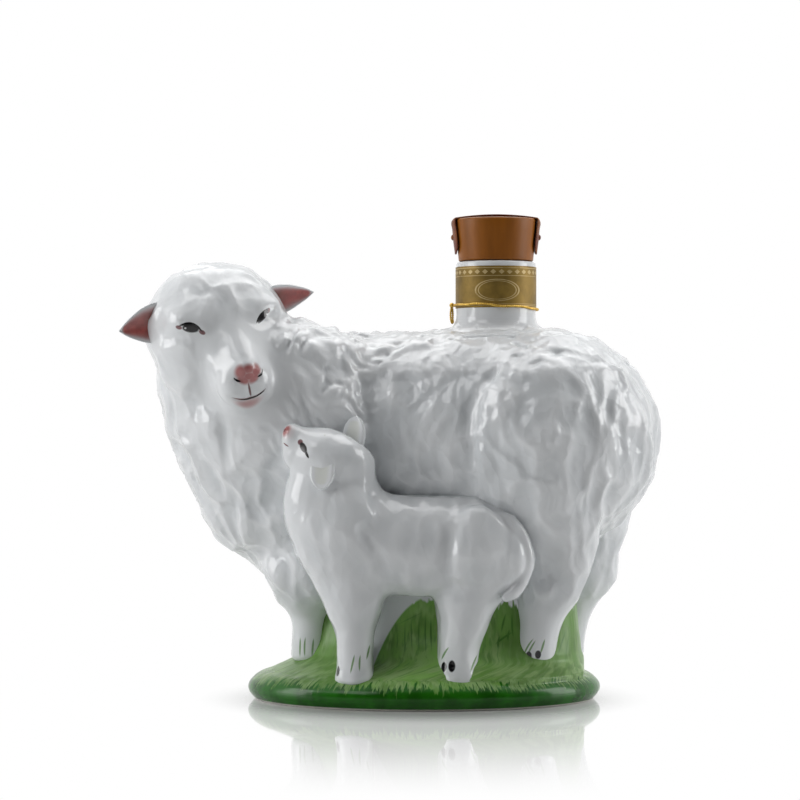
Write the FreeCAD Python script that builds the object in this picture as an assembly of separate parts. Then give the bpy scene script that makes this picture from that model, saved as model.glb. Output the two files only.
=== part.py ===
"""Figural liquor decanter: a glazed ewe and her lamb on a turf plinth, with a corked neck on the ewe's back.

Millimetres, +Z up. The origin is the centre of the flat foot under the plinth. +X runs from the ewe's head
to her rump, and the lamb stands on the -Y side. The ceramic members are cast apart, luted edge to edge with
slip and fired, so each is a solid of its own that is trimmed to the member it sits on. The ewe's barrel and
breast share one hollow that the neck fills and empties.
"""
import FreeCAD
import Part
import math
import os
from FreeCAD import Matrix, Vector

# Plinth: an oval of turf with a rolled rim, and a mound of grass under the belly
BASE_LENGTH = 130.0
BASE_DEPTH = 92.0
RIM_HEIGHT = 8.5
TURF_HEIGHT = 15.0
FOOT_MARGIN = 2.5
MOUND_LENGTH = 108.0
MOUND_DEPTH = 48.0
MOUND_NEAR = 3.0
MOUND_FORWARD = -2.0

# Wall of the slip casting
WALL = 5.0

# Ewe: where she stands and how her body is proportioned
EWE_YAW = 14.0
EWE_X = 4.6
EWE_Y = 1.0
WHEELBASE = 86.0
TRACK = 36.0
HIND_STAGGER = 4.0
BACK_HEIGHT = 136.0
TORSO_HEIGHT = 80.0
TORSO_WIDTH = 74.0
SHOULDER_LENGTH = 26.0
RUMP_LENGTH = 41.0
RUMP_WIDTH = 74.0
RUMP_SETBACK = 41.5
HAUNCH_LENGTH = 50.0
HAUNCH_PROUD = 4.0
TAIL_LENGTH = 44.0
TAIL_WIDTH = 20.0
TAIL_PROUD = 2.4
SHANK_RADIUS = 7.4
HOOF_RADIUS = 8.4

# Ewe's head, turned to the lamb's side
HEAD_FORWARD = 33.5
HEAD_NEAR = 29.4
HEAD_HEIGHT = 135.7
HEAD_TURN = 23.4
HEAD_NOD = 26.6
HEAD_TILT = 10.6
SKULL_WIDTH = 51.0
SKULL_DEPTH = 47.0
SKULL_HEIGHT = 43.0
SKULL_RISE = 3.0
FACE_LENGTH = 42.0
MUZZLE_RADIUS = 9.6
EAR_LENGTH = 15.0
EAR_WIDTH = 13.0
EAR_THICKNESS = 5.0
EAR_DROOP = 3.0

# Lamb: stands along the plinth's front edge with its nose to the ewe's cheek
LAMB_X = -1.0
LAMB_Y = -32.0
LAMB_LENGTH = 72.0
LAMB_BACK = 76.5
LAMB_GIRTH = 37.0
LAMB_WIDTH = 32.0
LAMB_STRIDE = 40.0
LAMB_SHANK = 6.2
LAMB_LEG_GAP = 8.0
LAMB_LEG_IN = -2.5
LAMB_STAGGER = 5.0
LAMB_HEAD_LENGTH = 30.0
LAMB_HEAD_WIDTH = 20.0
LAMB_HEAD_HEIGHT = 93.5
LAMB_HEAD_LIFT = 14.0
LAMB_EAR_LENGTH = 16.0
LAMB_EAR_WIDTH = 8.4
LAMB_EAR_THICKNESS = 3.4
LAMB_TAIL_RADIUS = 3.4

# Bottle neck on the back, with its label and cord
NECK_X = 26.6
NECK_Y = 0.0
NECK_RADIUS = 14.7
NECK_HEIGHT = 25.0
NECK_FLARE = 4.0
BORE_RADIUS = 9.5
LIP_ROUND = 0.8
LABEL_HEIGHT = 15.2
LABEL_THICKNESS = 0.25
LABEL_DROP = 2.0
LABEL_SEAM = 6.0
CORD_RADIUS = 0.45
CORD_TILT = 3.0
CORD_TAIL = 6.0
CORD_KNOT = 0.9

# Stopper: a turned cap on a tapered cork, sealed by a strap
CAP_HEIGHT = 15.6
CAP_TOP_RADIUS = 15.2
CAP_FOOT_RADIUS = 13.8
CAP_ROUND = 0.9
CAP_GAP = 0.3
CORK_LENGTH = 22.0
CORK_FIT = 0.06
CORK_TAPER = 0.5
STRAP_WIDTH = 9.0
STRAP_THICKNESS = 0.7
STRAP_DROP = 13.0
STRAP_BULGE = 0.9
STRAP_BEND = 2.0

# Shape constants
LOOP_POINTS = 12
BARREL = 2.3
OVERLAP = 3.0

UP = Vector(0, 0, 1)
RIGHT = Vector(1, 0, 0)
BACK = Vector(0, 1, 0)
yaw = math.radians(EWE_YAW)
REARWARD = Vector(math.cos(yaw), -math.sin(yaw), 0)
FARWARD = Vector(math.sin(yaw), math.cos(yaw), 0)


def ewe_point(along, across, up):
    """A point in the ewe's own frame: along to her rump, across to her far side, up from the table."""
    return Vector(EWE_X, EWE_Y, 0) + REARWARD * along + FARWARD * across + UP * up


def loop(centre, across, along, half_across, half_along, power=2.0):
    """A closed curve: the superellipse |x/a|^p + |y/b|^p = 1 in the plane of the two directions."""
    points = []
    for i in range(LOOP_POINTS):
        angle = 2 * math.pi * i / LOOP_POINTS
        c, s = math.cos(angle), math.sin(angle)
        x = math.copysign(abs(c) ** (2 / power), c) * half_across
        y = math.copysign(abs(s) ** (2 / power), s) * half_along
        points.append(centre + across * x + along * y)
    curve = Part.BSplineCurve()
    curve.interpolate(Points=points, PeriodicFlag=True)
    return Part.Wire([curve.toShape()])


def loft(loops):
    """A smooth solid through closed curves."""
    return Part.makeLoft(loops, True, False)


def upright(stations, across=RIGHT, along=BACK, power=2.0):
    """A limb through level sections: each station is a centre, a half width and a half depth."""
    return loft([loop(centre, across, along, a, b, power) for centre, a, b in stations])


def egg(centre, first, second, third, half):
    """An ellipsoid with its half lengths on three square directions."""
    a, b, c = half
    place = Matrix(
        first.x * a, second.x * b, third.x * c, centre.x,
        first.y * a, second.y * b, third.y * c, centre.y,
        first.z * a, second.z * b, third.z * c, centre.z,
        0, 0, 0, 1)
    return Part.makeSphere(1.0).transformGeometry(place)


def joined(shapes):
    """Fuses shapes one after another."""
    result = shapes[0]
    for shape in shapes[1:]:
        result = result.fuse(shape)
    return result


def trimmed(shape, *others):
    """The shape with the members that it seats on taken out, without stray slivers."""
    for other in others:
        shape = shape.cut(other)
    return max(shape.Solids, key=lambda solid: solid.Volume)


# Plinth

def plinth_body():
    """The oval plinth: a rolled rim and a full crown, turned about Z, drawn out to an oval and ground flat below."""
    half = BASE_LENGTH / 2
    foot = half - FOOT_MARGIN
    shoulder = Vector(foot, 0, RIM_HEIGHT)
    side = Part.Arc(Vector(foot, 0, 0), Vector(half, 0, RIM_HEIGHT / 2), shoulder).toShape()
    fullness = Vector(foot * 0.7, 0, RIM_HEIGHT + 0.74 * (TURF_HEIGHT - RIM_HEIGHT))
    top = Part.Arc(shoulder, fullness, Vector(0, 0, TURF_HEIGHT)).toShape()
    skirt = Part.makePolygon([Vector(0, 0, TURF_HEIGHT), Vector(0, 0, -OVERLAP), Vector(foot, 0, -OVERLAP),
                              Vector(foot, 0, 0)])
    profile = Part.Face(Part.Wire([side, top] + skirt.Edges))
    oval = Matrix()
    oval.scale(1, BASE_DEPTH / BASE_LENGTH, 1)
    crown = profile.revolve(Vector(0, 0, 0), UP, 360).transformGeometry(oval)
    below = Part.makeBox(2 * BASE_LENGTH, 2 * BASE_DEPTH, 2 * OVERLAP, Vector(-BASE_LENGTH, -BASE_DEPTH, -2 * OVERLAP))
    return crown.cut(below)


# Each row is a share of the way up to the belly, then shares of the mound's length and depth
MOUND_ROWS = ((0.0, 1.0, 1.4), (0.14, 0.985, 1.22), (0.26, 0.965, 1.05), (0.55, 0.93, 0.915), (1.0, 0.86, 0.78))


def mound_body():
    """The grass that fills the space under the belly between the four legs."""
    low, high = RIM_HEIGHT, TORSO_AXIS - TORSO_HEIGHT / 2 + 3 * OVERLAP
    stations = []
    for share, long, deep in MOUND_ROWS:
        centre = ewe_point(-MOUND_FORWARD, -MOUND_NEAR, low + (high - low) * share)
        stations.append((centre, MOUND_LENGTH / 2 * long, MOUND_DEPTH / 2 * deep))
    return upright(stations, REARWARD, FARWARD, 2.4)


# Ewe

TORSO_AXIS = BACK_HEIGHT - TORSO_HEIGHT / 2


def trunk_body(inset):
    """The barrel from shoulder to rump: upright sections along the spine, closed by a round at each end."""
    widen = RUMP_WIDTH / TORSO_WIDTH
    stations = []
    for end, setback, length, tall, wide in ((-1, WHEELBASE / 2, SHOULDER_LENGTH, 0.955, 1.0),
                                             (1, RUMP_SETBACK, RUMP_LENGTH, 1.0, widen)):
        for degrees in (78, 64, 46, 24, 0)[::-end]:
            slope = math.radians(degrees)
            reach = end * (setback + (length - inset) * math.sin(slope))
            stations.append((reach, math.cos(slope) * tall, math.cos(slope) * wide))
    stations.insert(5, (0.0, 0.97, 0.99))
    loops = []
    for along, tall, wide in stations:
        half_width = (TORSO_WIDTH / 2 - inset) * wide
        half_height = (TORSO_HEIGHT / 2 - inset) * tall
        loops.append(loop(ewe_point(along, 0, TORSO_AXIS), FARWARD, UP, half_width, half_height, BARREL))
    return loft(loops)


# Each row is height, forward of the fore feet, to the far side, half length and half width
BREAST_ROWS = (
    (44.0, 4.0, -3.0, 15.0, 17.0),
    (52.0, 6.0, -4.0, 24.0, 23.0),
    (60.0, 8.0, -6.0, 33.0, 28.0),
    (72.0, 8.0, -8.0, 38.0, 32.0),
    (88.0, 8.0, -12.0, 44.0, 35.0),
    (104.0, 11.5, -17.0, 45.0, 33.0),
    (120.0, 16.8, -21.0, 41.0, 28.0),
    (132.0, 19.0, -22.0, 37.0, 22.0),
    (140.0, 26.0, -22.0, 24.0, 14.0),
)


def breast_body(inset):
    """The breast and woolly neck, rising from between the fore legs to the head."""
    stations = []
    for height, forward, far, half_length, half_width in BREAST_ROWS:
        centre = ewe_point(-WHEELBASE / 2 - forward, far, height)
        stations.append((centre, half_length - inset, half_width - inset))
    return upright(stations, REARWARD, FARWARD)


def leg(along, side, rows):
    """A leg from level sections; side is -1 or 1 across the ewe.

    Each row is a height, a lean to the rump, a shift outwards, a half length and a half width.
    """
    stations = []
    for height, lean, outward, half_length, half_width in rows:
        centre = ewe_point(along + lean, side * (TRACK / 2 + outward), height)
        stations.append((centre, half_length, half_width))
    return upright(stations, REARWARD, FARWARD)


def flank(share):
    """The height at a share of the half height from the barrel's axis."""
    return TORSO_AXIS + share * TORSO_HEIGHT / 2


LEG_FOOT = TURF_HEIGHT - OVERLAP
FORE_LEG = (
    (LEG_FOOT, -1.0, 0.0, HOOF_RADIUS - 1.0, HOOF_RADIUS - 1.0),
    (LEG_FOOT + 8, -1.0, 0.0, SHANK_RADIUS - 1.0, SHANK_RADIUS - 1.0),
    (LEG_FOOT + 18, -1.0, 0.0, SHANK_RADIUS - 0.6, SHANK_RADIUS - 0.6),
    (LEG_FOOT + 27, -1.5, 0.0, SHANK_RADIUS + 5.5, SHANK_RADIUS + 5.5),
    (LEG_FOOT + 36, -2.0, 0.0, SHANK_RADIUS + 8.0, SHANK_RADIUS + 8.0),
    (LEG_FOOT + 46, -2.0, 0.0, SHANK_RADIUS + 6.0, SHANK_RADIUS + 6.0),
    (LEG_FOOT + 56, 0.0, 0.0, SHANK_RADIUS, SHANK_RADIUS),
)
HAUNCH_REACH = RUMP_WIDTH / 2 + HAUNCH_PROUD - TRACK / 2
HIND_LEG = (
    (LEG_FOOT, -2.0, 0.0, HOOF_RADIUS, HOOF_RADIUS),
    (LEG_FOOT + 9, -2.0, 0.0, SHANK_RADIUS, SHANK_RADIUS),
    (LEG_FOOT + 19, 0.0, 0.0, SHANK_RADIUS + 0.8, SHANK_RADIUS + 0.8),
    (LEG_FOOT + 28, 2.0, 0.0, SHANK_RADIUS + 5.0, SHANK_RADIUS + 2.6),
    (LEG_FOOT + 40, 3.0, 0.0, SHANK_RADIUS + 8.5, SHANK_RADIUS + 4.1),
    (flank(-0.75), 1.0, 1.0, HAUNCH_LENGTH * 0.41, HAUNCH_REACH - 8.0),
    (flank(-0.4), -1.0, 2.5, HAUNCH_LENGTH * 0.47, HAUNCH_REACH - 4.5),
    (flank(-0.05), -2.0, 3.5, HAUNCH_LENGTH * 0.5, HAUNCH_REACH - 3.0),
    (flank(0.35), -2.0, 3.0, HAUNCH_LENGTH * 0.48, HAUNCH_REACH - 5.0),
    (flank(0.7), -1.0, 0.5, HAUNCH_LENGTH * 0.38, HAUNCH_REACH - 10.5),
    (flank(0.9), 0.0, -6.0, HAUNCH_LENGTH * 0.24, HAUNCH_REACH - 18.0),
)


def tail_body():
    """The woolly tail, lying down the back of the rump."""
    rows = ((0.32, 0.55), (0.12, 0.95), (-0.2, 1.0), (-0.5, 0.8), (-0.68, 0.45))
    stations = []
    for share, fullness in rows:
        drop = TAIL_LENGTH * share
        reach = RUMP_SETBACK + RUMP_LENGTH * math.sqrt(1 - (2 * drop / TORSO_HEIGHT) ** 2)
        centre = ewe_point(reach - TAIL_PROUD, 0, TORSO_AXIS + drop)
        stations.append((centre, 2 * TAIL_PROUD * fullness, TAIL_WIDTH / 2 * fullness))
    return upright(stations, REARWARD, FARWARD)


# Head frame: the face axis, the crown direction and the side that faces the lamb

turn, nod, tilt = (math.radians(angle) for angle in (HEAD_TURN, HEAD_NOD, HEAD_TILT))
FACE = Vector(math.sin(turn) * math.cos(nod), -math.cos(turn) * math.cos(nod), -math.sin(nod))
CROWN = Vector(-math.sin(tilt), 0, math.cos(tilt))
CROWN = (CROWN - FACE * CROWN.dot(FACE)).normalize()
CHEEK = CROWN.cross(FACE)
HEAD = ewe_point(-WHEELBASE / 2 - HEAD_FORWARD, -HEAD_NEAR, HEAD_HEIGHT)


def head_point(side, crown, face):
    """A point in the head's frame: to the cheek, to the crown and out along the face."""
    return HEAD + CHEEK * side + CROWN * crown + FACE * face


def skull_body():
    """The woolly skull."""
    half = (SKULL_WIDTH / 2, SKULL_DEPTH / 2, SKULL_HEIGHT / 2)
    return egg(head_point(0, SKULL_RISE, 0), CHEEK, FACE, CROWN, half)


def face_body():
    """The bare face, drawn in from the brow to a blunt muzzle."""
    rows = ((0.0, 0.0, 2.0, 1.85), (0.3, -0.5, 2.0, 1.8), (0.55, -1.5, 1.6, 1.5),
            (0.78, -2.5, 1.18, 1.2), (0.93, -3.0, 1.02, 1.02), (1.0, -3.0, 0.68, 0.66))
    loops = []
    for share, drop, wide, tall in rows:
        centre = head_point(0, drop, FACE_LENGTH * share)
        loops.append(loop(centre, CHEEK, CROWN, MUZZLE_RADIUS * wide, MUZZLE_RADIUS * tall))
    return loft(loops)


def ear_body(root, tip, front, length, width, thickness):
    """A leaf-shaped ear from root to tip, hollowed on the side that it shows."""
    reach = (tip - root).normalize()
    front = (front - reach * front.dot(reach)).normalize()
    edge = reach.cross(front)
    rows = ((0.0, 0.9), (0.3, 1.0), (0.55, 0.84), (0.8, 0.52), (1.0, 0.14))
    blade = loft([
        loop(root + reach * length * share, edge, front, width / 2 * full, thickness / 2 * (0.4 + 0.6 * full))
        for share, full in rows])
    scoop_centre = root + reach * length * 0.52 + front * thickness * 0.62
    scoop = egg(scoop_centre, edge, front, reach, (width * 0.33, thickness * 0.62, length * 0.3))
    return blade.cut(scoop)


def ewe_ear(side):
    """An ear of the ewe, out from the skull at the height of the eyes; side is -1 or 1 along CHEEK."""
    root = head_point(side * (SKULL_WIDTH / 2 - OVERLAP), SKULL_RISE + SKULL_HEIGHT / 9, OVERLAP)
    droop = math.radians(EAR_DROOP)
    out = CHEEK * side * math.cos(droop) - CROWN * math.sin(droop)
    return ear_body(root, root + out, FACE, EAR_LENGTH, EAR_WIDTH, EAR_THICKNESS)


# Lamb

def lamb_point(x, y, z):
    return Vector(LAMB_X + x, LAMB_Y + y, z)


LAMB_AXIS = LAMB_BACK - LAMB_GIRTH / 2


def lamb_torso():
    """The lamb's barrel, from its breast to its rump."""
    rows = ((-0.6, 3.5, 0.66, 0.62), (-0.52, 3.5, 0.88, 0.86), (-0.36, 2.5, 1.0, 1.02), (-0.1, 0.0, 0.98, 0.98),
            (0.2, 0.0, 0.98, 0.98), (0.32, -0.4, 0.98, 0.97), (0.43, -1.7, 0.94, 0.85), (0.5, -3.2, 0.82, 0.62),
            (0.545, -4.2, 0.55, 0.32))
    loops = []
    for share, lift, wide, tall in rows:
        centre = lamb_point(LAMB_LENGTH * share, 0, LAMB_AXIS + lift)
        loops.append(loop(centre, BACK, UP, LAMB_WIDTH / 2 * wide, LAMB_GIRTH / 2 * tall))
    return loft(loops)


def lamb_neck():
    """The neck, rising from the shoulders to the back of the lamb's head."""
    rows = ((LAMB_AXIS - 6, -28.0, 0.0, 15.5, 13.0), (LAMB_AXIS + 10, -31.5, -1.0, 18.0, 13.0),
            (LAMB_HEAD_HEIGHT - 12, -32.5, -3.0, 16.0, 11.5), (LAMB_HEAD_HEIGHT - 1, -31.0, -4.5, 12.5, 9.0))
    return upright([(lamb_point(x, y, z), a, b) for z, x, y, a, b in rows])


lift = math.radians(LAMB_HEAD_LIFT)
LAMB_FACE = Vector(-math.cos(lift), 0, math.sin(lift))
LAMB_CROWN = Vector(math.sin(lift), 0, math.cos(lift))
LAMB_HEAD = lamb_point(-32.0, -5.0, LAMB_HEAD_HEIGHT)


def lamb_head():
    """The raised head, flat from poll to nose, its blunt nose to the ewe's cheek."""
    rows = ((-0.42, -4.0, 0.6, 0.55), (-0.3, -3.9, 0.85, 0.8), (-0.05, -3.8, 1.05, 0.94), (0.2, -3.6, 0.9, 0.98),
            (0.4, -3.0, 0.68, 0.8), (0.5, -2.2, 0.56, 0.66), (0.575, -1.4, 0.34, 0.4))
    loops = []
    for share, drop, wide, tall in rows:
        centre = LAMB_HEAD + LAMB_FACE * LAMB_HEAD_LENGTH * share + LAMB_CROWN * drop
        loops.append(loop(centre, BACK, LAMB_CROWN, LAMB_HEAD_WIDTH / 2 * wide, LAMB_HEAD_WIDTH / 2 * tall))
    return loft(loops)


# Each row is height over the foot, lean to the rump, then half length and half depth in shanks
LAMB_FORE_LEG = ((0, 0.0, 1.12, 1.03), (8, 0.0, 1.0, 0.92), (18, 0.0, 1.08, 1.0), (28, -0.5, 1.62, 1.5),
                 (39, -2.0, 2.15, 1.56), (50, -2.5, 2.0, 1.56))
LAMB_HIND_LEG = ((0, -3.0, 1.08, 1.0), (8, -1.5, 0.9, 0.83), (19, 1.5, 1.0, 0.92), (28, 3.0, 1.7, 1.56),
                 (39, 7.0, 2.45, 1.56), (50, 9.0, 2.3, 1.56))


def lamb_leg(x, y, rows):
    """A lamb's leg, from its hoof up into the barrel."""
    foot = RIM_HEIGHT
    return upright([(lamb_point(x + lean, y, foot + rise), LAMB_SHANK * long, LAMB_SHANK * deep)
                    for rise, lean, long, deep in rows])


def lamb_tail():
    """The tail, curled down the lamb's rump on the side that shows."""
    rows = ((0.41, -10.0, -18.0, 0.53), (0.465, -9.0, -14.5, 0.76), (0.508, -8.5, -7.0, 0.88), (0.497, -9.5, 1.0, 0.88),
            (0.4375, -10.5, 8.5, 0.82), (0.361, -9.0, 13.0, 0.65))
    return upright([(lamb_point(LAMB_LENGTH * share, y, LAMB_AXIS + rise), LAMB_TAIL_RADIUS * full,
                     LAMB_TAIL_RADIUS * full) for share, y, rise, full in rows])


def lamb_ear(near):
    """One ear of the lamb: the near one hangs by the cheek, the far one stands behind the crown."""
    if near:
        root = LAMB_HEAD + Vector(-1.5, -LAMB_HEAD_WIDTH / 2, 2.0)
        return ear_body(root, root + Vector(-0.1, -0.16, -1), Vector(-0.3, -1, 0),
                        LAMB_EAR_LENGTH, LAMB_EAR_WIDTH, LAMB_EAR_THICKNESS)
    root = LAMB_HEAD + Vector(5.0, 0.0, -5.0)
    return ear_body(root, root + Vector(0.15, 0.1, 1), Vector(-0.7, -1, 0.2),
                    LAMB_EAR_LENGTH, LAMB_EAR_WIDTH, LAMB_EAR_THICKNESS)


# Neck of the bottle

NECK = Vector(NECK_X, NECK_Y, 0)
NECK_TOP = BACK_HEIGHT + NECK_HEIGHT
NECK_ROOT = BACK_HEIGHT - 2 * OVERLAP - WALL


def turned(points):
    """A solid turned about the neck's axis from straight profile runs of (radius, height)."""
    corners = [NECK + Vector(r, 0, z) for r, z in points]
    return Part.Face(Part.makePolygon(corners + corners[:1])).revolve(NECK, UP, 360)


def neck_solid():
    """The neck before it is trimmed: a plain tube that flares where it meets the fleece."""
    outer = turned((
        (0, NECK_ROOT), (NECK_RADIUS + 2 * NECK_FLARE, NECK_ROOT), (NECK_RADIUS + NECK_FLARE, BACK_HEIGHT - OVERLAP),
        (NECK_RADIUS, BACK_HEIGHT + NECK_FLARE), (NECK_RADIUS, NECK_TOP), (0, NECK_TOP)))
    rim = [e for e in outer.Edges if e.BoundBox.ZMin > NECK_TOP - 0.01 and e.BoundBox.XLength > 2 * BORE_RADIUS]
    return outer.makeFillet(LIP_ROUND, rim)


def bore_solid(top):
    """The bore, from inside the hollow up past the lip."""
    low = TORSO_AXIS
    return Part.makeCylinder(BORE_RADIUS, top - low, NECK + UP * low)


LABEL_TOP = NECK_TOP - LABEL_DROP
LABEL_RADIUS = NECK_RADIUS + LABEL_THICKNESS
CORD_RING = (LABEL_RADIUS + CORD_RADIUS) / math.cos(math.radians(CORD_TILT))
CORD_HEIGHT = LABEL_TOP - LABEL_HEIGHT + CORD_RADIUS


def neck_label():
    """The paper band round the neck, its two ends a seam apart at the back."""
    low = LABEL_TOP - LABEL_HEIGHT
    band = Part.makeCylinder(LABEL_RADIUS, LABEL_HEIGHT, NECK + UP * low)
    band = band.cut(Part.makeCylinder(NECK_RADIUS, LABEL_HEIGHT, NECK + UP * low))
    seam = Part.makeBox(LABEL_SEAM, NECK_RADIUS, LABEL_HEIGHT, NECK + Vector(-LABEL_SEAM / 2, NECK_RADIUS / 2, low))
    return band.cut(seam)


def neck_cord():
    """The elastic cord round the foot of the label, lower on the rump side, knotted with a short tail."""
    ring = Part.makeTorus(CORD_RING, CORD_RADIUS)
    ring.rotate(Vector(0, 0, 0), BACK, CORD_TILT)
    ring.translate(NECK + UP * CORD_HEIGHT)
    knot = NECK + Vector(-CORD_RING - CORD_KNOT, 0, CORD_HEIGHT + CORD_RING * math.sin(math.radians(CORD_TILT)))
    end = knot - UP * CORD_TAIL
    tail = Part.makeCylinder(CORD_RADIUS, CORD_TAIL, end)
    return joined([ring, Part.makeSphere(CORD_KNOT, knot), tail, Part.makeSphere(CORD_KNOT, end)])


# Stopper

CAP_FOOT = NECK_TOP + CAP_GAP
CAP_TOP = CAP_FOOT + CAP_HEIGHT


def stopper_cap():
    """The cap that the hand pulls: a truncated cone with a softened top edge."""
    cone = Part.makeCone(CAP_FOOT_RADIUS, CAP_TOP_RADIUS, CAP_HEIGHT, NECK + UP * CAP_FOOT)
    rim = [e for e in cone.Edges if e.BoundBox.ZMin > CAP_TOP - 0.01]
    return cone.makeFillet(CAP_ROUND, rim)


def stopper_cork():
    """The cork glued under the cap, tapered into the bore."""
    low = CAP_FOOT - CORK_LENGTH
    top_radius = BORE_RADIUS - CORK_FIT
    return Part.makeCone(top_radius - CORK_TAPER, top_radius, CORK_LENGTH, NECK + UP * low)


def strap_core(skin):
    """A block as wide as the strap that fills the bend of its outer or inner face."""
    low = CAP_TOP - STRAP_DROP
    wide, narrow = CAP_TOP_RADIUS + STRAP_BULGE + skin, CAP_TOP_RADIUS + skin
    corners = [(-narrow, low), (-wide, CAP_TOP - STRAP_DROP / 2), (-wide, CAP_TOP + skin),
               (wide, CAP_TOP + skin), (wide, CAP_TOP - STRAP_DROP / 2), (narrow, low)]
    points = [NECK + Vector(x, -STRAP_WIDTH / 2, z) for x, z in corners]
    block = Part.Face(Part.makePolygon(points + points[:1])).extrude(Vector(0, STRAP_WIDTH, 0))
    bends = [e for e in block.Edges if e.BoundBox.ZMin > CAP_TOP + skin - 0.01 and e.BoundBox.XLength < 0.01]
    return block.makeFillet(STRAP_BEND + skin, bends)


def seal_strap():
    """The seal strap: laid across the cap, bowed out over its edge and hanging down both sides."""
    return strap_core(STRAP_THICKNESS).cut(strap_core(0.0))


def main():
    os.makedirs("parts", exist_ok=True)
    fore, hind = -WHEELBASE / 2, WHEELBASE / 2
    legs = {
        "ewe_near_fore_leg": leg(fore, -1, FORE_LEG),
        "ewe_far_fore_leg": leg(fore, 1, FORE_LEG),
        "ewe_near_hind_leg": leg(hind, -1, HIND_LEG),
        "ewe_far_hind_leg": leg(hind + HIND_STAGGER, 1, HIND_LEG),
    }
    head = joined([skull_body(), face_body()])
    breast = breast_body(0)
    barrel = joined([trunk_body(0), tail_body()])
    ewe = joined([barrel, breast] + list(legs.values()))
    base = joined([plinth_body(), mound_body()])
    vessel = joined([trunk_body(WALL), breast_body(WALL)]).cut(head).fuse(bore_solid(NECK_TOP + OVERLAP))
    lamb = joined([lamb_torso(), lamb_neck(), lamb_head(), lamb_tail()]
                  + [lamb_leg(x + shift, y, rows)
                     for x, rows, step in ((-LAMB_STRIDE / 2 - 4, LAMB_FORE_LEG, 0.0),
                                           (LAMB_STRIDE / 2 - 4, LAMB_HIND_LEG, LAMB_STAGGER))
                     for y, shift in ((LAMB_LEG_IN, 0.0), (LAMB_LEG_IN + LAMB_LEG_GAP, -step))])

    parts = {
        "ewe_body": trimmed(barrel, breast, head, vessel),
        "ewe_breast": trimmed(breast, head, vessel),
        "ewe_head": trimmed(head),
        "ewe_left_ear": trimmed(ewe_ear(1), head, ewe),
        "ewe_right_ear": trimmed(ewe_ear(-1), head, ewe),
        "lamb_body": trimmed(lamb, ewe, base, head),
        "lamb_left_ear": trimmed(lamb_ear(True), lamb, ewe),
        "lamb_right_ear": trimmed(lamb_ear(False), lamb, ewe),
        "grass_base": trimmed(base, ewe),
        "bottle_neck": trimmed(neck_solid(), ewe, vessel),
        "neck_label": neck_label(),
        "neck_cord": neck_cord(),
        "stopper_cap": stopper_cap(),
        "stopper_cork": stopper_cork(),
        "seal_strap": seal_strap(),
    }
    for name, shape in legs.items():
        parts[name] = trimmed(shape, breast, barrel)
    for name, shape in parts.items():
        shape.exportStep(f"parts/{name}.step")
        print(name, len(shape.Solids), shape.isValid(), round(shape.Volume / 1000, 2), "ml")
    print("capacity", round(vessel.Volume / 1000), "ml")


main()
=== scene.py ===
"""Looks of a figural liquor decanter: a glazed ewe and her lamb on a turf plinth, with a corked neck."""
import math

import bpy
import numpy as np
from bpy.props import FloatProperty, FloatVectorProperty, PointerProperty
from bpy.types import Operator, Panel, PropertyGroup
from mathutils import Matrix, Vector


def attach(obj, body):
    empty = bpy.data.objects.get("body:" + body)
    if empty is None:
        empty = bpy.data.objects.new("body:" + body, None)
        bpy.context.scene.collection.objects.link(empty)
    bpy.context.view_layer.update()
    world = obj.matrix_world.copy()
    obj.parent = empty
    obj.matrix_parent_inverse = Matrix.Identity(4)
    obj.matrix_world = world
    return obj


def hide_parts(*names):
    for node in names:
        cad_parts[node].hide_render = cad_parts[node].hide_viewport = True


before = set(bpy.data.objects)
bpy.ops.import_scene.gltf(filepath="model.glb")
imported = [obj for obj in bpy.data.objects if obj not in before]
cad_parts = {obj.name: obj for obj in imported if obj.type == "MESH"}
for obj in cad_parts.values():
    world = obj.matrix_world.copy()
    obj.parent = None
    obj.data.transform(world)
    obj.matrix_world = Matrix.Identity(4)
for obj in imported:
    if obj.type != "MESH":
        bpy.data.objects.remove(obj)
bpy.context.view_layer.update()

bl_info = {
    "name": "Ewe and lamb decanter",
    "version": (1, 0, 0),
    "blender": (4, 5, 0),
    "location": "3D View > Sidebar > Decanter",
    "description": "Builds a glazed figural decanter of a ewe and her lamb on the packed frame",
    "category": "Object",
}

MM = 0.001


# Settings

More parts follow.
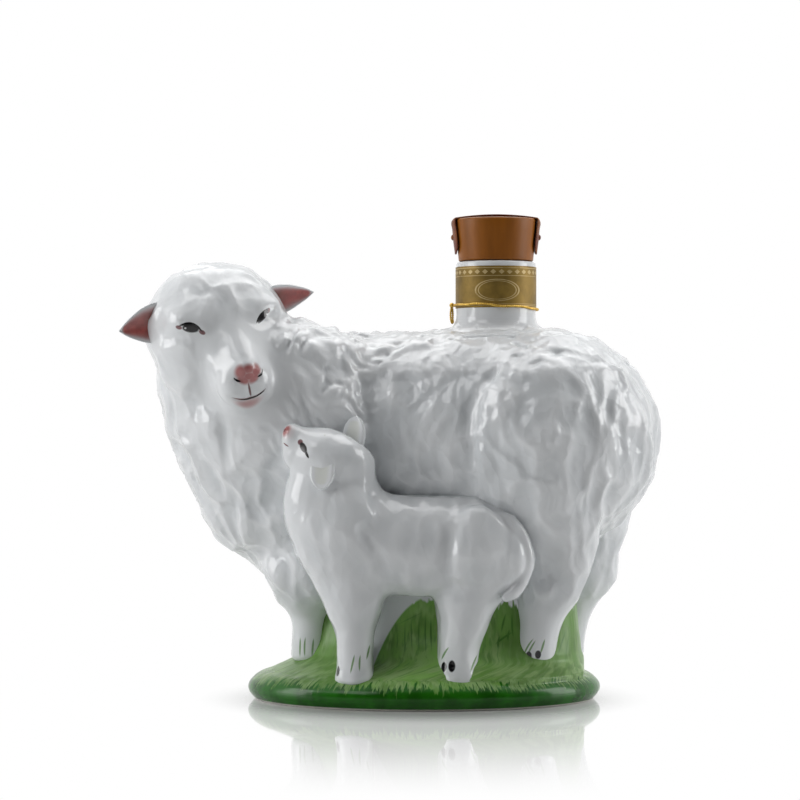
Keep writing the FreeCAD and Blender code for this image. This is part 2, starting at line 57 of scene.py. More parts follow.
class EweSettings(PropertyGroup):
    """Sizes of the ewe."""
    stand: FloatVectorProperty(name="Stand", description="Point on the table under the middle of her body",
                               default=(0.0046, 0.001, 0.0), subtype="TRANSLATION", unit="LENGTH")
    turn: FloatProperty(name="Turn", description="How far her rump is turned to the lamb's side",
                        default=math.radians(14), subtype="ANGLE")
    wheelbase: FloatProperty(name="Wheelbase", description="From the fore feet to the hind feet",
                             default=0.086, unit="LENGTH")
    track: FloatProperty(name="Track", description="Between the near and the far feet", default=0.036,
                         unit="LENGTH")
    back: FloatProperty(name="Back height", description="Height of her back over the table",
                        default=0.136, unit="LENGTH")
    girth: FloatProperty(name="Girth", description="Height of her barrel", default=0.080, unit="LENGTH")
    width: FloatProperty(name="Width", description="Width of her barrel", default=0.074, unit="LENGTH")
    head: FloatVectorProperty(name="Head",
                              description="Middle of her head in her own frame: along, across and up",
                              default=(-0.0765, -0.0294, 0.1357), subtype="TRANSLATION", unit="LENGTH")
    head_turn: FloatProperty(name="Head turn", description="Turn of her face along the plinth",
                             default=math.radians(23.4), subtype="ANGLE")
    head_nod: FloatProperty(name="Head nod", description="Fall of her face to the table",
                            default=math.radians(26.6), subtype="ANGLE")
    head_tilt: FloatProperty(name="Head tilt", description="Lean of her crown", default=math.radians(10.6),
                             subtype="ANGLE")
    wool: FloatProperty(name="Wool depth", description="Depth of the modelled fleece", default=0.001,
                        unit="LENGTH")
    ear_length: FloatProperty(name="Ear length", description="Length of her ears", default=0.0146,
                              unit="LENGTH")
    ear_width: FloatProperty(name="Ear width", description="Width of her ears at the root", default=0.0160,
                             unit="LENGTH")


class LambSettings(PropertyGroup):
    """Sizes of the lamb."""
    stand: FloatVectorProperty(name="Stand", description="Point on the table under the middle of the lamb",
                               default=(-0.001, -0.032, 0.0), subtype="TRANSLATION", unit="LENGTH")
    length: FloatProperty(name="Length", description="Length of its barrel", default=0.072, unit="LENGTH")
    back: FloatProperty(name="Back height", description="Height of its back over the table",
                        default=0.0765, unit="LENGTH")
    girth: FloatProperty(name="Girth", description="Height of its barrel", default=0.037, unit="LENGTH")
    width: FloatProperty(name="Width", description="Width of its barrel", default=0.032, unit="LENGTH")
    stride: FloatProperty(name="Stride", description="Between its fore and hind feet", default=0.040,
                          unit="LENGTH")
    shank: FloatProperty(name="Shank", description="Half width of its lower legs", default=0.0062,
                         unit="LENGTH")
    head: FloatVectorProperty(name="Head", description="Middle of its head from its stand",
                              default=(-0.032, -0.005, 0.0935), subtype="TRANSLATION", unit="LENGTH")
    head_lift: FloatProperty(name="Head lift", description="Rise of its nose", default=math.radians(14),
                             subtype="ANGLE")
    ear_length: FloatProperty(name="Ear length", description="Length of its ears", default=0.016,
                              unit="LENGTH")
    wool: FloatProperty(name="Wool depth", description="Depth of the modelled fleece", default=0.0006,
                        unit="LENGTH")


class TurfSettings(PropertyGroup):
    """Sizes of the plinth and the grass under the ewe."""
    length: FloatProperty(name="Length", description="Length of the oval plinth", default=0.130,
                          unit="LENGTH")
    depth: FloatProperty(name="Depth", description="Depth of the oval plinth", default=0.092, unit="LENGTH")
    rim: FloatProperty(name="Rim height", description="Top of the rolled rim", default=0.0085, unit="LENGTH")
    mound_length: FloatProperty(name="Mound length", description="Length of the grass mound", default=0.108,
                                unit="LENGTH")
    mound_depth: FloatProperty(name="Mound depth", description="Depth of the grass mound", default=0.048,
                               unit="LENGTH")


class NeckSettings(PropertyGroup):
    """Sizes of the bottle's neck, its band and its cord."""
    axis: FloatVectorProperty(name="Axis", description="Place of the neck's axis on the table", size=2,
                              default=(0.0266, 0.0), unit="LENGTH")
    radius: FloatProperty(name="Radius", description="Outside radius", default=0.0147, unit="LENGTH")
    bore: FloatProperty(name="Bore", description="Radius of the bore", default=0.0095, unit="LENGTH")
    top: FloatProperty(name="Top", description="Height of the lip over the table", default=0.161,
                       unit="LENGTH")
    band: FloatProperty(name="Band", description="Height of the foil band", default=0.0152, unit="LENGTH")
    cord: FloatProperty(name="Cord", description="Radius of the gold cord", default=0.00045, unit="LENGTH")


class StopperSettings(PropertyGroup):
    """Sizes of the cap, the cork and the seal strap."""
    height: FloatProperty(name="Height", description="Height of the cap", default=0.0156, unit="LENGTH")
    foot_radius: FloatProperty(name="Foot radius", description="Radius of the cap at its foot",
                               default=0.0138, unit="LENGTH")
    top_radius: FloatProperty(name="Top radius", description="Radius of the cap at its top", default=0.0152,
                              unit="LENGTH")
    cork: FloatProperty(name="Cork", description="Length of the cork", default=0.022, unit="LENGTH")
    strap_width: FloatProperty(name="Strap width", description="Width of the seal strap", default=0.011,
                               unit="LENGTH")
    strap_drop: FloatProperty(name="Strap drop", description="How far the strap hangs down the cap",
                              default=0.013, unit="LENGTH")


class FinishSettings(PropertyGroup):
    """Colours of the glazes, the label and the stopper."""
    white: FloatVectorProperty(name="White glaze", description="Glaze of the fleece",
                               default=(0.795, 0.815, 0.83), subtype="COLOR", min=0, max=1)
    turf: FloatVectorProperty(name="Turf glaze", description="Light green of the turf",
                              default=(0.20, 0.40, 0.09), subtype="COLOR", min=0, max=1)
    rim: FloatVectorProperty(name="Rim glaze", description="Dark green of the rim and blades",
                             default=(0.012, 0.105, 0.004), subtype="COLOR", min=0, max=1)
    pink: FloatVectorProperty(name="Pink", description="Pink of the washes, the lips and the ears' blush",
                              default=(0.44, 0.14, 0.13), subtype="COLOR", min=0, max=1)
    nose: FloatVectorProperty(name="Nose paint", description="Deeper pink of the noses",
                              default=(0.37, 0.09, 0.085), subtype="COLOR", min=0, max=1)
    dark: FloatVectorProperty(name="Eye paint", description="Near-black of eyes, nostrils and hooves",
                              default=(0.003, 0.003, 0.004), subtype="COLOR", min=0, max=1)
    lid: FloatVectorProperty(name="Lid paint", description="Red brown at the corners of the eyes",
                             default=(0.14, 0.025, 0.03), subtype="COLOR", min=0, max=1)
    blade: FloatVectorProperty(name="Blade glaze", description="Pale green of the grass tufts",
                               default=(0.40, 0.62, 0.24), subtype="COLOR", min=0, max=1)
    ear_root: FloatVectorProperty(name="Ear root",
                                  description="Brown brushed into the roots of the ewe's ears",
                                  default=(0.06, 0.035, 0.02), subtype="COLOR", min=0, max=1)
    gold: FloatVectorProperty(name="Label gold", description="Bronze gold of the neck band",
                              default=(0.29, 0.185, 0.040), subtype="COLOR", min=0, max=1)
    cap: FloatVectorProperty(name="Cap", description="Brown of the stopper's cap",
                             default=(0.31, 0.10, 0.009), subtype="COLOR", min=0, max=1)


class StageSettings(PropertyGroup):
    """Camera and light."""
    camera_place: FloatVectorProperty(name="Camera", description="Place of the camera",
                                      default=(-0.0089, -0.95, 0.11), subtype="TRANSLATION", unit="LENGTH")
    camera_lens: FloatProperty(name="Lens", description="Focal length on a 36 mm sensor", default=115.5)
    key: FloatProperty(name="Top light", description="Power of the top softbox", default=8.0, unit="POWER")
    side: FloatProperty(name="Side light", description="Power of each side softbox", default=3.8,
                        unit="POWER")
    front: FloatProperty(name="Front light", description="Power of the front softbox", default=2.0,
                         unit="POWER")
    fill: FloatProperty(name="Fill",
                        description="Strength of the even light from the back, the sides and above",
                        default=0.10)


class DecanterSettings(PropertyGroup):
    """All settings of the decanter."""
    ewe: PointerProperty(type=EweSettings)
    lamb: PointerProperty(type=LambSettings)
    turf: PointerProperty(type=TurfSettings)
    neck: PointerProperty(type=NeckSettings)
    stopper: PointerProperty(type=StopperSettings)
    finish: PointerProperty(type=FinishSettings)
    stage: PointerProperty(type=StageSettings)


def settings():
    return bpy.context.scene.decanter


# Frames and fields, in millimetres

def mm(value):
    """A setting in millimetres: a number or an array."""
    return np.array(value) * 1000 if hasattr(value, "__len__") else value * 1000


class Stand:
    """A local frame: an origin and three unit directions as rows."""

    def __init__(self, origin, rows):
        self.origin = np.array(origin, float)
        self.rows = np.array(rows, float)

    def local(self, points):
        return (points - self.origin) @ self.rows.T

    def place(self, *local):
        return self.origin + np.array(local, float) @ self.rows


def ewe_stand(ewe):
    """Her own frame: along to the rump, across to the far side, up."""
    c, s = math.cos(ewe.turn), math.sin(ewe.turn)
    return Stand(mm(ewe.stand), ((c, -s, 0), (s, c, 0), (0, 0, 1)))


def head_stand(ewe):
    """The frame of her head: to the cheek, to the crown and out along the face."""
    turn, nod, tilt = ewe.head_turn, ewe.head_nod, ewe.head_tilt
    face = np.array((math.sin(turn) * math.cos(nod), -math.cos(turn) * math.cos(nod), -math.sin(nod)))
    crown = np.array((-math.sin(tilt), 0, math.cos(tilt)))
    crown -= face * crown.dot(face)
    crown /= np.linalg.norm(crown)
    return Stand(ewe_stand(ewe).place(*mm(ewe.head)), (np.cross(crown, face), crown, face))


def lamb_stand(lamb):
    return Stand(mm(lamb.stand), np.eye(3))


def lamb_head_stand(lamb):
    """The frame of the lamb's head: to its far cheek, to the crown and out along the face."""
    c, s = math.cos(lamb.head_lift), math.sin(lamb.head_lift)
    return Stand(mm(lamb.stand) + mm(lamb.head), ((0, 1, 0), (s, 0, c), (-c, 0, s)))


def smooth_min(a, b, k):
    """Union with a fillet: the lower of two fields, less k h (1 - h) where they are within k."""
    h = np.clip(0.5 + 0.5 * (b - a) / k, 0, 1)
    return b + (a - b) * h - k * h * (1 - h)


def egg(centre, half, lean=0.0):
    """Ellipsoid field k0 (k0 - 1) / k1, with k0 = |q / half| and k1 = |q / half^2|.

    lean turns it about the first axis.
    """
    centre, half = np.array(centre, float), np.array(half, float)
    c, s = math.cos(lean), math.sin(lean)

    def field(q):
        q = q - centre
        if lean:
            q = np.stack((q[:, 0], c * q[:, 1] + s * q[:, 2], c * q[:, 2] - s * q[:, 1]), 1)
        k0 = np.linalg.norm(q / half, axis=1)
        k1 = np.linalg.norm(q / half ** 2, axis=1) + 1e-6
        return k0 * (k0 - 1) / k1
    return field


def limb(start, end, start_radius, end_radius):
    """Round cone field: distance to a straight run, less a radius that changes evenly along it."""
    start, run = np.array(start, float), np.array(end, float) - np.array(start, float)

    def field(q):
        q = q - start
        t = np.clip(q @ run / (run @ run), 0, 1)
        return np.linalg.norm(q - t[:, None] * run, axis=1) - (start_radius + (end_radius - start_radius) * t)
    return field


def hermite(x, knots, values):
    """Cubic curve through rows of values at the knots, with a mean of the two chords as its slope there."""
    knots, values = np.array(knots, float), np.array(values, float)
    step = np.diff(knots)
    chord = np.diff(values, axis=0) / step[:, None]
    slope = np.concatenate((chord[:1], (chord[1:] * step[:-1, None] + chord[:-1] * step[1:, None])
                            / (step[1:] + step[:-1])[:, None], chord[-1:]))
    i = np.clip(np.searchsorted(knots, x) - 1, 0, len(step) - 1)
    t = np.clip((x - knots[i]) / step[i], 0, 1)[:, None]
    h = step[i][:, None]
    return ((1 + 2 * t) * (1 - t) ** 2 * values[i] + t * (1 - t) ** 2 * h * slope[i]
            + t * t * (3 - 2 * t) * values[i + 1] + t * t * (t - 1) * h * slope[i + 1])


def stack(rows, order=(0, 1, 2), end=3.0):
    """Loft field: ovals carried up a curve; end rounds the end edges.

    Each row is a height, a centre x, y and halves a, b; order names the axes for x, y and the height.
    """
    rows = np.array(rows, float)
    knots, values = rows[:, 0], rows[:, 1:]

    def field(q):
        x, y, z = (q[:, i] for i in order)
        cx, cy, a, b = hermite(z, knots, values).T
        u, v = (x - cx) / a, (y - cy) / b
        k0 = np.hypot(u, v)
        k1 = np.hypot(u / a, v / b) / (k0 + 1e-6)
        return -smooth_min((1 - k0) / (k1 + 1e-6), np.minimum(z - knots[0], knots[-1] - z), end)
    return field


def rope(rows, count=14):
    """Field of a smooth roll of clay: round cones along a cubic through rows of a point and a radius."""
    rows = np.array(rows, float)
    rows = hermite(np.linspace(0, len(rows) - 1, count), np.arange(len(rows)), rows)
    pieces = [limb(a[:3], b[:3], a[3], b[3]) for a, b in zip(rows[:-1], rows[1:])]
    return lambda q: np.minimum.reduce([piece(q) for piece in pieces])


def barrel(low, high, axis, half_heights, squash, ends, power, slope=0.93):
    """Barrel field along the first axis: a section of a power round the height axis, rounded off at each end.

    ends are the lengths of the rounded ends; slope brings the field's slope across the section to about 1.
    """
    def field(q):
        along, across, up = q[:, 0], q[:, 1], q[:, 2] - axis
        t = np.clip((along - low) / (high - low), 0, 1)
        radius = half_heights[0] + (half_heights[1] - half_heights[0]) * t
        before = np.minimum(along - low, 0) * half_heights[0] / ends[0]
        after = np.maximum(along - high, 0) * half_heights[1] / ends[1]
        ring = (np.abs(across / squash) ** power + np.abs(up) ** power) ** (1 / power)
        return (np.hypot(before + after, ring) - radius) * slope
    return field


def mirrored(field):
    """The lower of a field and its mirror image in the first axis."""
    flip = np.array((-1.0, 1.0, 1.0))
    return lambda q: np.minimum(field(q), field(q * flip))


class Figure:
    """A body of clay: members joined with fillets, then hollows pressed in, each in the frame of a stand."""

    def __init__(self):
        self.members = []
        self.hollows = []

    def add(self, stand, fillet, *fields):
        self.members += [(stand, fillet, field) for field in fields]

    def press(self, stand, fillet, *fields):
        self.hollows += [(stand, fillet, field) for field in fields]

    def __call__(self, points):
        places, total = {}, None
        for stand, fillet, field in self.members:
            if stand not in places:
                places[stand] = stand.local(points)
            value = field(places[stand])
            total = value if total is None else smooth_min(total, value, fillet)
        for stand, fillet, field in self.hollows:
            total = -smooth_min(-total, field(places[stand]), fillet)
        return total


# Surfaces

CORNERS = np.array([(i, j, k) for i in (0, 1) for j in (0, 1) for k in (0, 1)])
EDGES = [(a, b) for a in range(8) for b in range(a + 1, 8) if np.abs(CORNERS[a] - CORNERS[b]).sum() == 1]


def skin(field, axes, coarse=3, margin=1.4):
    """Quad net on field = 0: a point in each grid cell that it crosses, a face round each crossed edge.

    The field is worked out on every coarse-th grid line first, then on all lines in the cells that have a
    corner within margin coarse steps of the surface.
    """
    def nodes(lines):
        return np.stack(np.meshgrid(*lines, indexing="ij"), -1).reshape(-1, 3)

    lines = [a[::coarse] for a in axes]
    rough = field(nodes(lines)).reshape([len(a) for a in lines])
    reach = margin * max(np.diff(a).max() for a in lines)
    close = np.abs(rough) < reach
    cells = np.zeros([n - 1 for n in close.shape], bool)
    for i, j, k in CORNERS:
        cells |= close[i:i + cells.shape[0], j:j + cells.shape[1], k:k + cells.shape[2]]
    homes = [np.minimum(np.arange(len(a)) // coarse, n - 1) for a, n in zip(axes, cells.shape)]
    wanted = np.nonzero(cells[np.ix_(*homes)])
    value = rough[np.ix_(*homes)].copy()
    value[wanted] = field(np.stack([a[i] for a, i in zip(axes, wanted)], 1))

    inside = value < 0
    count = np.zeros([n - 1 for n in value.shape], np.int8)
    for i, j, k in CORNERS:
        count += inside[i:i + count.shape[0], j:j + count.shape[1], k:k + count.shape[2]]
    crossed = np.argwhere((count > 0) & (count < 8))
    number = np.full(count.shape, -1, np.int32)
    number[tuple(crossed.T)] = np.arange(len(crossed))

    at = crossed[:, None, :] + CORNERS
    corner_value = value[at[..., 0], at[..., 1], at[..., 2]]
    corner_place = np.stack([a[at[..., i]] for i, a in enumerate(axes)], -1)
    total, hits = np.zeros((len(crossed), 3)), np.zeros((len(crossed), 1))
    for a, b in EDGES:
        cut = ((corner_value[:, a] < 0) != (corner_value[:, b] < 0))[:, None]
        share = (corner_value[:, a] / (corner_value[:, a] - corner_value[:, b] + 1e-12))[:, None]
        total += np.where(cut, corner_place[:, a] + share * (corner_place[:, b] - corner_place[:, a]), 0)
        hits += cut
    points = total / hits

    faces = []
    for axis in range(3):
        first = np.take(inside, range(inside.shape[axis] - 1), axis)
        second = np.take(inside, range(1, inside.shape[axis]), axis)
        u, v = (axis + 1) % 3, (axis + 2) % 3
        for flip, edges in ((False, np.argwhere(first & ~second)), (True, np.argwhere(second & ~first))):
            ring = []
            for du, dv in ((-1, -1), (0, -1), (0, 0), (-1, 0)):
                home = edges.copy()
                home[:, u] += du
                home[:, v] += dv
                ring.append(number[tuple(home.T)])
            faces.append(np.stack(ring[::-1] if flip else ring, 1))
    return points, np.concatenate(faces)


def slope_of(field, points, step=0.05):
    """Value and gradient of a field at points, by forward differences."""
    value = field(points)
    return value, np.stack([(field(points + step * np.eye(3)[i]) - value) / step for i in range(3)], 1)


def settled(field, points, rounds=2):
    """Moves points onto field = 0 along its gradient, and gives the unit normals there."""
    for _ in range(rounds):
        value, gradient = slope_of(field, points)
        step = np.clip(value, -1.0, 1.0) / np.maximum(np.sum(gradient ** 2, 1), 0.3)
        points = points - step[:, None] * gradient
    _, gradient = slope_of(field, points)
    return points, gradient / (np.linalg.norm(gradient, axis=1, keepdims=True) + 1e-9)


def modelled(clay, axes):
    """Points on the surface of a body of clay, their unit normals and the faces between them."""
    points, faces = skin(clay, axes)
    return *settled(clay, points), faces


def grid_lines(*runs):
    """Grid lines over runs of a start, an end and a step."""
    return np.concatenate([np.arange(*run) for run in runs])


def lattice(cell, seed):
    """Three even numbers from -1 to 1 for each whole-number cell."""
    n = (cell[:, 0] * 73856093) ^ (cell[:, 1] * 19349663) ^ (cell[:, 2] * 83492791) ^ (seed * 2654435)
    n = (n ^ (n >> 13)) * 1274126177 & 0x7FFFFFFF
    n = (n ^ (n >> 16)) * 668265263 & 0x7FFFFFFF
    return np.stack((n & 1023, (n >> 10) & 1023, (n >> 20) & 1023), 1) / 511.5 - 1


def clouds(points, seed=0, gain=1.4):
    """Smooth random field of about -1 to 1, of one unit's grain: lattice gradients, blended by a quintic."""
    cell = np.floor(points).astype(np.int64)
    part = points - cell
    blend = part ** 3 * (part * (6 * part - 15) + 10)
    total = np.zeros(len(points))
    for corner in CORNERS:
        weight = np.prod(np.where(corner, blend, 1 - blend), 1)
        total += weight * np.sum(lattice(cell + corner, seed) * (part - corner), 1)
    return total * gain


def scoops(points, seed=0, spread=0.42):
    """Distance to the nearest random spot, of one in each lattice cell, at most spread off its middle.

    It is low in the scoops and has sharp ridges between them.
    """
    cell = np.floor(points).astype(np.int64)
    nearest = np.full(len(points), 9.0)
    for step in np.indices((3, 3, 3)).reshape(3, -1).T - 1:
        spot = cell + step + 0.5 + spread * lattice(cell + step, seed)
        nearest = np.minimum(nearest, np.sum((spot - points) ** 2, 1))
    return np.sqrt(nearest)


def pressed(points, size, seed, mean=0.3):
    """Height of scoops of a size, pressed side by side: about 0 on the whole, highest on the ridges."""
    return scoops(points / size, seed) ** 2 - mean


def ramp(x, low, high):
    """Smooth step from 0 at low to 1 at high."""
    t = np.clip((x - low) / (high - low), 0, 1)
    return t * t * (3 - 2 * t)


def circle(count):
    """Even angles once round."""
    return np.linspace(0, 2 * math.pi, count, endpoint=False)


def run_along(rows):
    """Distance along a run of points, from 0 at the first."""
    return np.concatenate((np.zeros(1), np.cumsum(np.linalg.norm(np.diff(rows, axis=0), axis=1))))


def mesh_piece(name, points, faces, body, nodes, material, attributes=()):
    """Makes a smooth mesh piece from points in millimetres; it rides a body and stands for CAD nodes."""
    mesh = bpy.data.meshes.new(name)
    if isinstance(faces, np.ndarray):
        mesh.vertices.add(len(points))
        mesh.vertices.foreach_set("co", np.ascontiguousarray(points * MM, np.float32).ravel())
        mesh.loops.add(faces.size)
        mesh.loops.foreach_set("vertex_index", np.ascontiguousarray(faces, np.int32).ravel())
        mesh.polygons.add(len(faces))
        mesh.polygons.foreach_set("loop_start", np.arange(0, faces.size, faces.shape[1], dtype=np.int32))
    else:
        mesh.from_pydata((points * MM).tolist(), [], faces)
    mesh.update(calc_edges=True)
    mesh.polygons.foreach_set("use_smooth", np.ones(len(mesh.polygons), bool))
    for label, values in attributes:
        layer = mesh.attributes.new(label, "FLOAT", "POINT")
        layer.data.foreach_set("value", np.ascontiguousarray(values, np.float32))
    mesh.validate()
    mesh.materials.append(material)
    piece = bpy.data.objects.new(name, mesh)
    bpy.context.scene.collection.objects.link(piece)
    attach(piece, body)
    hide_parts(*nodes)


def closed_tube(rings):
    """Points and faces of a skin over rings (rows, columns, 3), wrapped round, with a fan at each end."""
    rows, columns = rings.shape[:2]
    grid = np.arange(rows * columns).reshape(rows, columns)
    turn = np.roll(grid, -1, 1)
    quads = np.stack((grid[:-1], turn[:-1], turn[1:], grid[1:]), -1).reshape(-1, 4)
    poles = rings[[0, -1]].mean(1)
    low, high = rows * columns, rows * columns + 1
    fans = np.concatenate((
        np.stack((turn[0], grid[0], np.full(columns, low)), -1),
        np.stack((grid[-1], turn[-1], np.full(columns, high)), -1)))
    return np.concatenate((rings.reshape(-1, 3), poles)), quads.tolist() + fans.tolist()


def ring_tube(rings):
    """Points and faces of a skin over rings that close on themselves both ways."""
    rows, columns = rings.shape[:2]
    grid = np.arange(rows * columns).reshape(rows, columns)
    turn, step = np.roll(grid, -1, 1), np.roll(grid, -1, 0)
    both = np.roll(step, -1, 1)
    return rings.reshape(-1, 3), np.stack((grid, turn, both, step), -1).reshape(-1, 4)


# Materials

class Nodes:
    """A node tree with short calls for the nodes that it needs."""

    def __init__(self, tree):
        self.tree = tree

    def node(self, kind, inputs=(), **options):
        node = self.tree.nodes.new(kind)
        for key, value in options.items():
            setattr(node, key, value)
        for key, value in dict(inputs).items():
            self.set(node.inputs[key], value)
        return node

    def set(self, socket, value):
        if isinstance(value, bpy.types.NodeSocket):
            self.tree.links.new(value, socket)
        elif socket.type == "RGBA" and len(value) == 3:
            socket.default_value = (*value, 1.0)
        else:
            socket.default_value = value

    def math(self, operation, a, b=0.0, c=0.0):
        return self.node("ShaderNodeMath", {0: a, 1: b, 2: c}, operation=operation).outputs[0]

    def times(self, a, b):
        return self.math("MULTIPLY", a, b)

    def highest(self, masks):
        total = masks[0]
        for mask in masks[1:]:
            total = self.math("MAXIMUM", total, mask)
        return total

    def vectors(self, operation, a, b):
        return self.node("ShaderNodeVectorMath", {0: a, 1: b}, operation=operation).outputs[0]

    def length(self, vector):
        return self.node("ShaderNodeVectorMath", {0: vector}, operation="LENGTH").outputs["Value"]

    def ramp(self, value, low, high, start=0.0, end=1.0):
        """Smooth step of a value, from start at low to end at high."""
        inputs = {"Value": value, "From Min": low, "From Max": high, "To Min": start, "To Max": end}
        return self.node("ShaderNodeMapRange", inputs, interpolation_type="SMOOTHSTEP").outputs["Result"]

    def seen_rays(self):
        """1 for glossy and transmission rays, which show the white surroundings, and 1 for camera rays."""
        path = self.node("ShaderNodeLightPath").outputs
        return self.highest((path["Is Glossy Ray"], path["Is Transmission Ray"])), path["Is Camera Ray"]


class Paint(Nodes):
    """One glaze or finish on Object coordinates; inputs are further values of its shader."""

    def __init__(self, name, roughness, inputs=()):
        self.material = bpy.data.materials.new(name)
        self.material.use_nodes = True
        super().__init__(self.material.node_tree)
        self.shader = self.tree.nodes["Principled BSDF"]
        for key, value in {"Roughness": roughness, **dict(inputs)}.items():
            self.set(self.shader.inputs[key], value)
        self.coordinates = self.node("ShaderNodeTexCoord").outputs["Object"]

    def noise(self, scale, detail=2.0, roughness=0.5, stretch=(1, 1, 1), vector=None):
        vector = self.coordinates if vector is None else vector
        if stretch != (1, 1, 1):
            vector = self.vectors("MULTIPLY", vector, stretch)
        inputs = {"Vector": vector, "Scale": scale, "Detail": detail, "Roughness": roughness}
        return self.node("ShaderNodeTexNoise", inputs).outputs["Fac"]

    def cells(self, scale, vector=None):
        """Distance to the nearest spot of a cell pattern."""
        vector = self.coordinates if vector is None else vector
        return self.node("ShaderNodeTexVoronoi", {"Vector": vector, "Scale": scale}).outputs["Distance"]

    def attribute(self, name):
        return self.node("ShaderNodeAttribute", attribute_name=name).outputs["Fac"]

    def mix(self, factor, a, b):
        return self.node("ShaderNodeMix", {0: factor, 6: a, 7: b}, data_type="RGBA").outputs[2]

    def mottle(self, noise, a, b):
        """Two colours that change over about the middle of a noise."""
        return self.mix(self.ramp(noise, 0.3, 0.7), a, b)

    def axis(self, index):
        return self.node("ShaderNodeSeparateXYZ", {0: self.coordinates}).outputs[index]

    def brush(self, centre, along, out, half, bend, soft):
        """Mask of one brush stroke: a ball of unit size in a frame set on the stroke, bent along its length.

        centre is in millimetres; along and out are directions; half is the half length, width and depth.
        """
        along = Vector(along).normalized()
        out = Vector(out)
        out = (out - along * out.dot(along)).normalized()
        turn = Matrix((along, out.cross(along), out)).transposed().to_euler()
        inputs = {"Vector": self.coordinates, "Location": Vector(centre) * MM, "Rotation": turn,
                  "Scale": Vector(half) * MM}
        place = self.node("ShaderNodeMapping", inputs, vector_type="TEXTURE").outputs[0]
        x, y, z = self.node("ShaderNodeSeparateXYZ", {0: place}).outputs[:3]
        if bend:
            y = self.math("MULTIPLY_ADD", self.times(x, x), -bend, y)
        spot = self.node("ShaderNodeCombineXYZ", {0: x, 1: y, 2: z}).outputs[0]
        return self.ramp(self.length(spot), 1.0, 1.0 - soft)

    def stroke(self, stand, start, end, half, rise, out, soft, deep):
        """Mask of a stroke between two points of a stand, arched by rise.

        half is its half width, out the way that it faces and deep its least half depth.
        """
        a, b = stand.place(*start), stand.place(*end)
        out = np.array(out, float) @ stand.rows
        up = np.cross(out, b - a)
        return self.brush((a + b) / 2 + up / np.linalg.norm(up) * rise, b - a, out,
                          (np.linalg.norm(b - a) / 2, half, max(deep, half)), -rise / half, soft)

    def marks(self, colour, tints, stand, rows, deep=2.4):
        """Paints rows of strokes over a colour, one tint after the other: its colour, cover and softness."""
        for name, (tint, cover, soft) in tints.items():
            masks = [self.stroke(stand, *row[1:], soft, deep) for row in rows if row[0] == name]
            if masks:
                colour = self.mix(self.times(self.highest(masks), cover), colour, tint)
        return colour

    def finish(self, colour, bump, strength, distance=0.0005):
        node = self.node("ShaderNodeBump", {"Height": bump, "Strength": strength, "Distance": distance})
        self.set(self.shader.inputs["Base Color"], colour)
        self.set(self.shader.inputs["Normal"], node.outputs[0])
        return self.material


def shade(colour, factor):
    """A colour times a factor, or times one factor for each channel."""
    return tuple(np.multiply(colour, factor))


def blend(a, share, b, other):
    """A share of one colour and another share of the next, added up."""
    return tuple(share * x + other * y for x, y in zip(a, b))


POOLED = (0.74, 0.76, 0.77)
FACET_BEND = (0.012, 0.012, 0.012)
FACET_STRETCH = (1.0, 1.0, 0.62)


def white_glaze(paint, white):
    """The white glaze: a little greyer where it pools in the relief, and faintly clouded."""
    pale = paint.mottle(paint.noise(28), white, shade(white, 0.965))
    pool = paint.ramp(paint.attribute("relief"), 0.45, -0.9)
    return paint.mix(paint.times(pool, 0.5), pale, shade(white, POOLED))


def wool_facets(paint, share):
    """Height of small pressed facets: distance to the nearest spot of a bent cell pattern, times a share."""
    bent = paint.node("ShaderNodeTexNoise", {"Vector": paint.coordinates, "Scale": 90.0}).outputs["Color"]
    bent = paint.vectors("ADD", paint.vectors("MULTIPLY", bent, FACET_BEND), paint.coordinates)
    return paint.times(paint.cells(190.0, paint.vectors("MULTIPLY", bent, FACET_STRETCH)), share)


def face_tints(finish):
    """Paints of the marks, in the order that they go on: colour, cover and softness of the edge."""
    return {
        "wash": (finish.pink, 0.30, 0.8),
        "lip": (finish.pink, 0.62, 0.7),
        "pink": (finish.nose, 0.9, 0.6),
        "grass": (blend(finish.turf, 0.5, finish.rim, 0.5), 0.85, 0.4),
        "lid": (finish.lid, 0.9, 0.35),
        "dark": (finish.dark, 1.0, 0.25),
        # Painted highlight: a small white glint in each eye.
        "notch": (finish.white, 0.9, 0.3),
    }


def foot_marks(hooves, grass):
    """Strokes on the feet: dark hooves that face out, and thin blades of grass that face the front."""
    return ([("dark", start, end, half, 0.0, out) for start, end, half, out in hooves]
            + [("grass", start, end, 0.42, rise, (0, -1, 0)) for start, end, rise in grass])


def figure_glaze(name, finish, painted, strength, distance):
    """White glaze with rows of painted marks, each set in a stand, and small facets in the wool."""
    paint = Paint(name, 0.13)
    colour = white_glaze(paint, finish.white)
    for stand, rows in painted:
        colour = paint.marks(colour, face_tints(finish), stand, rows)
    return paint.finish(colour, wool_facets(paint, paint.attribute("wool")), strength, distance)


# Ewe

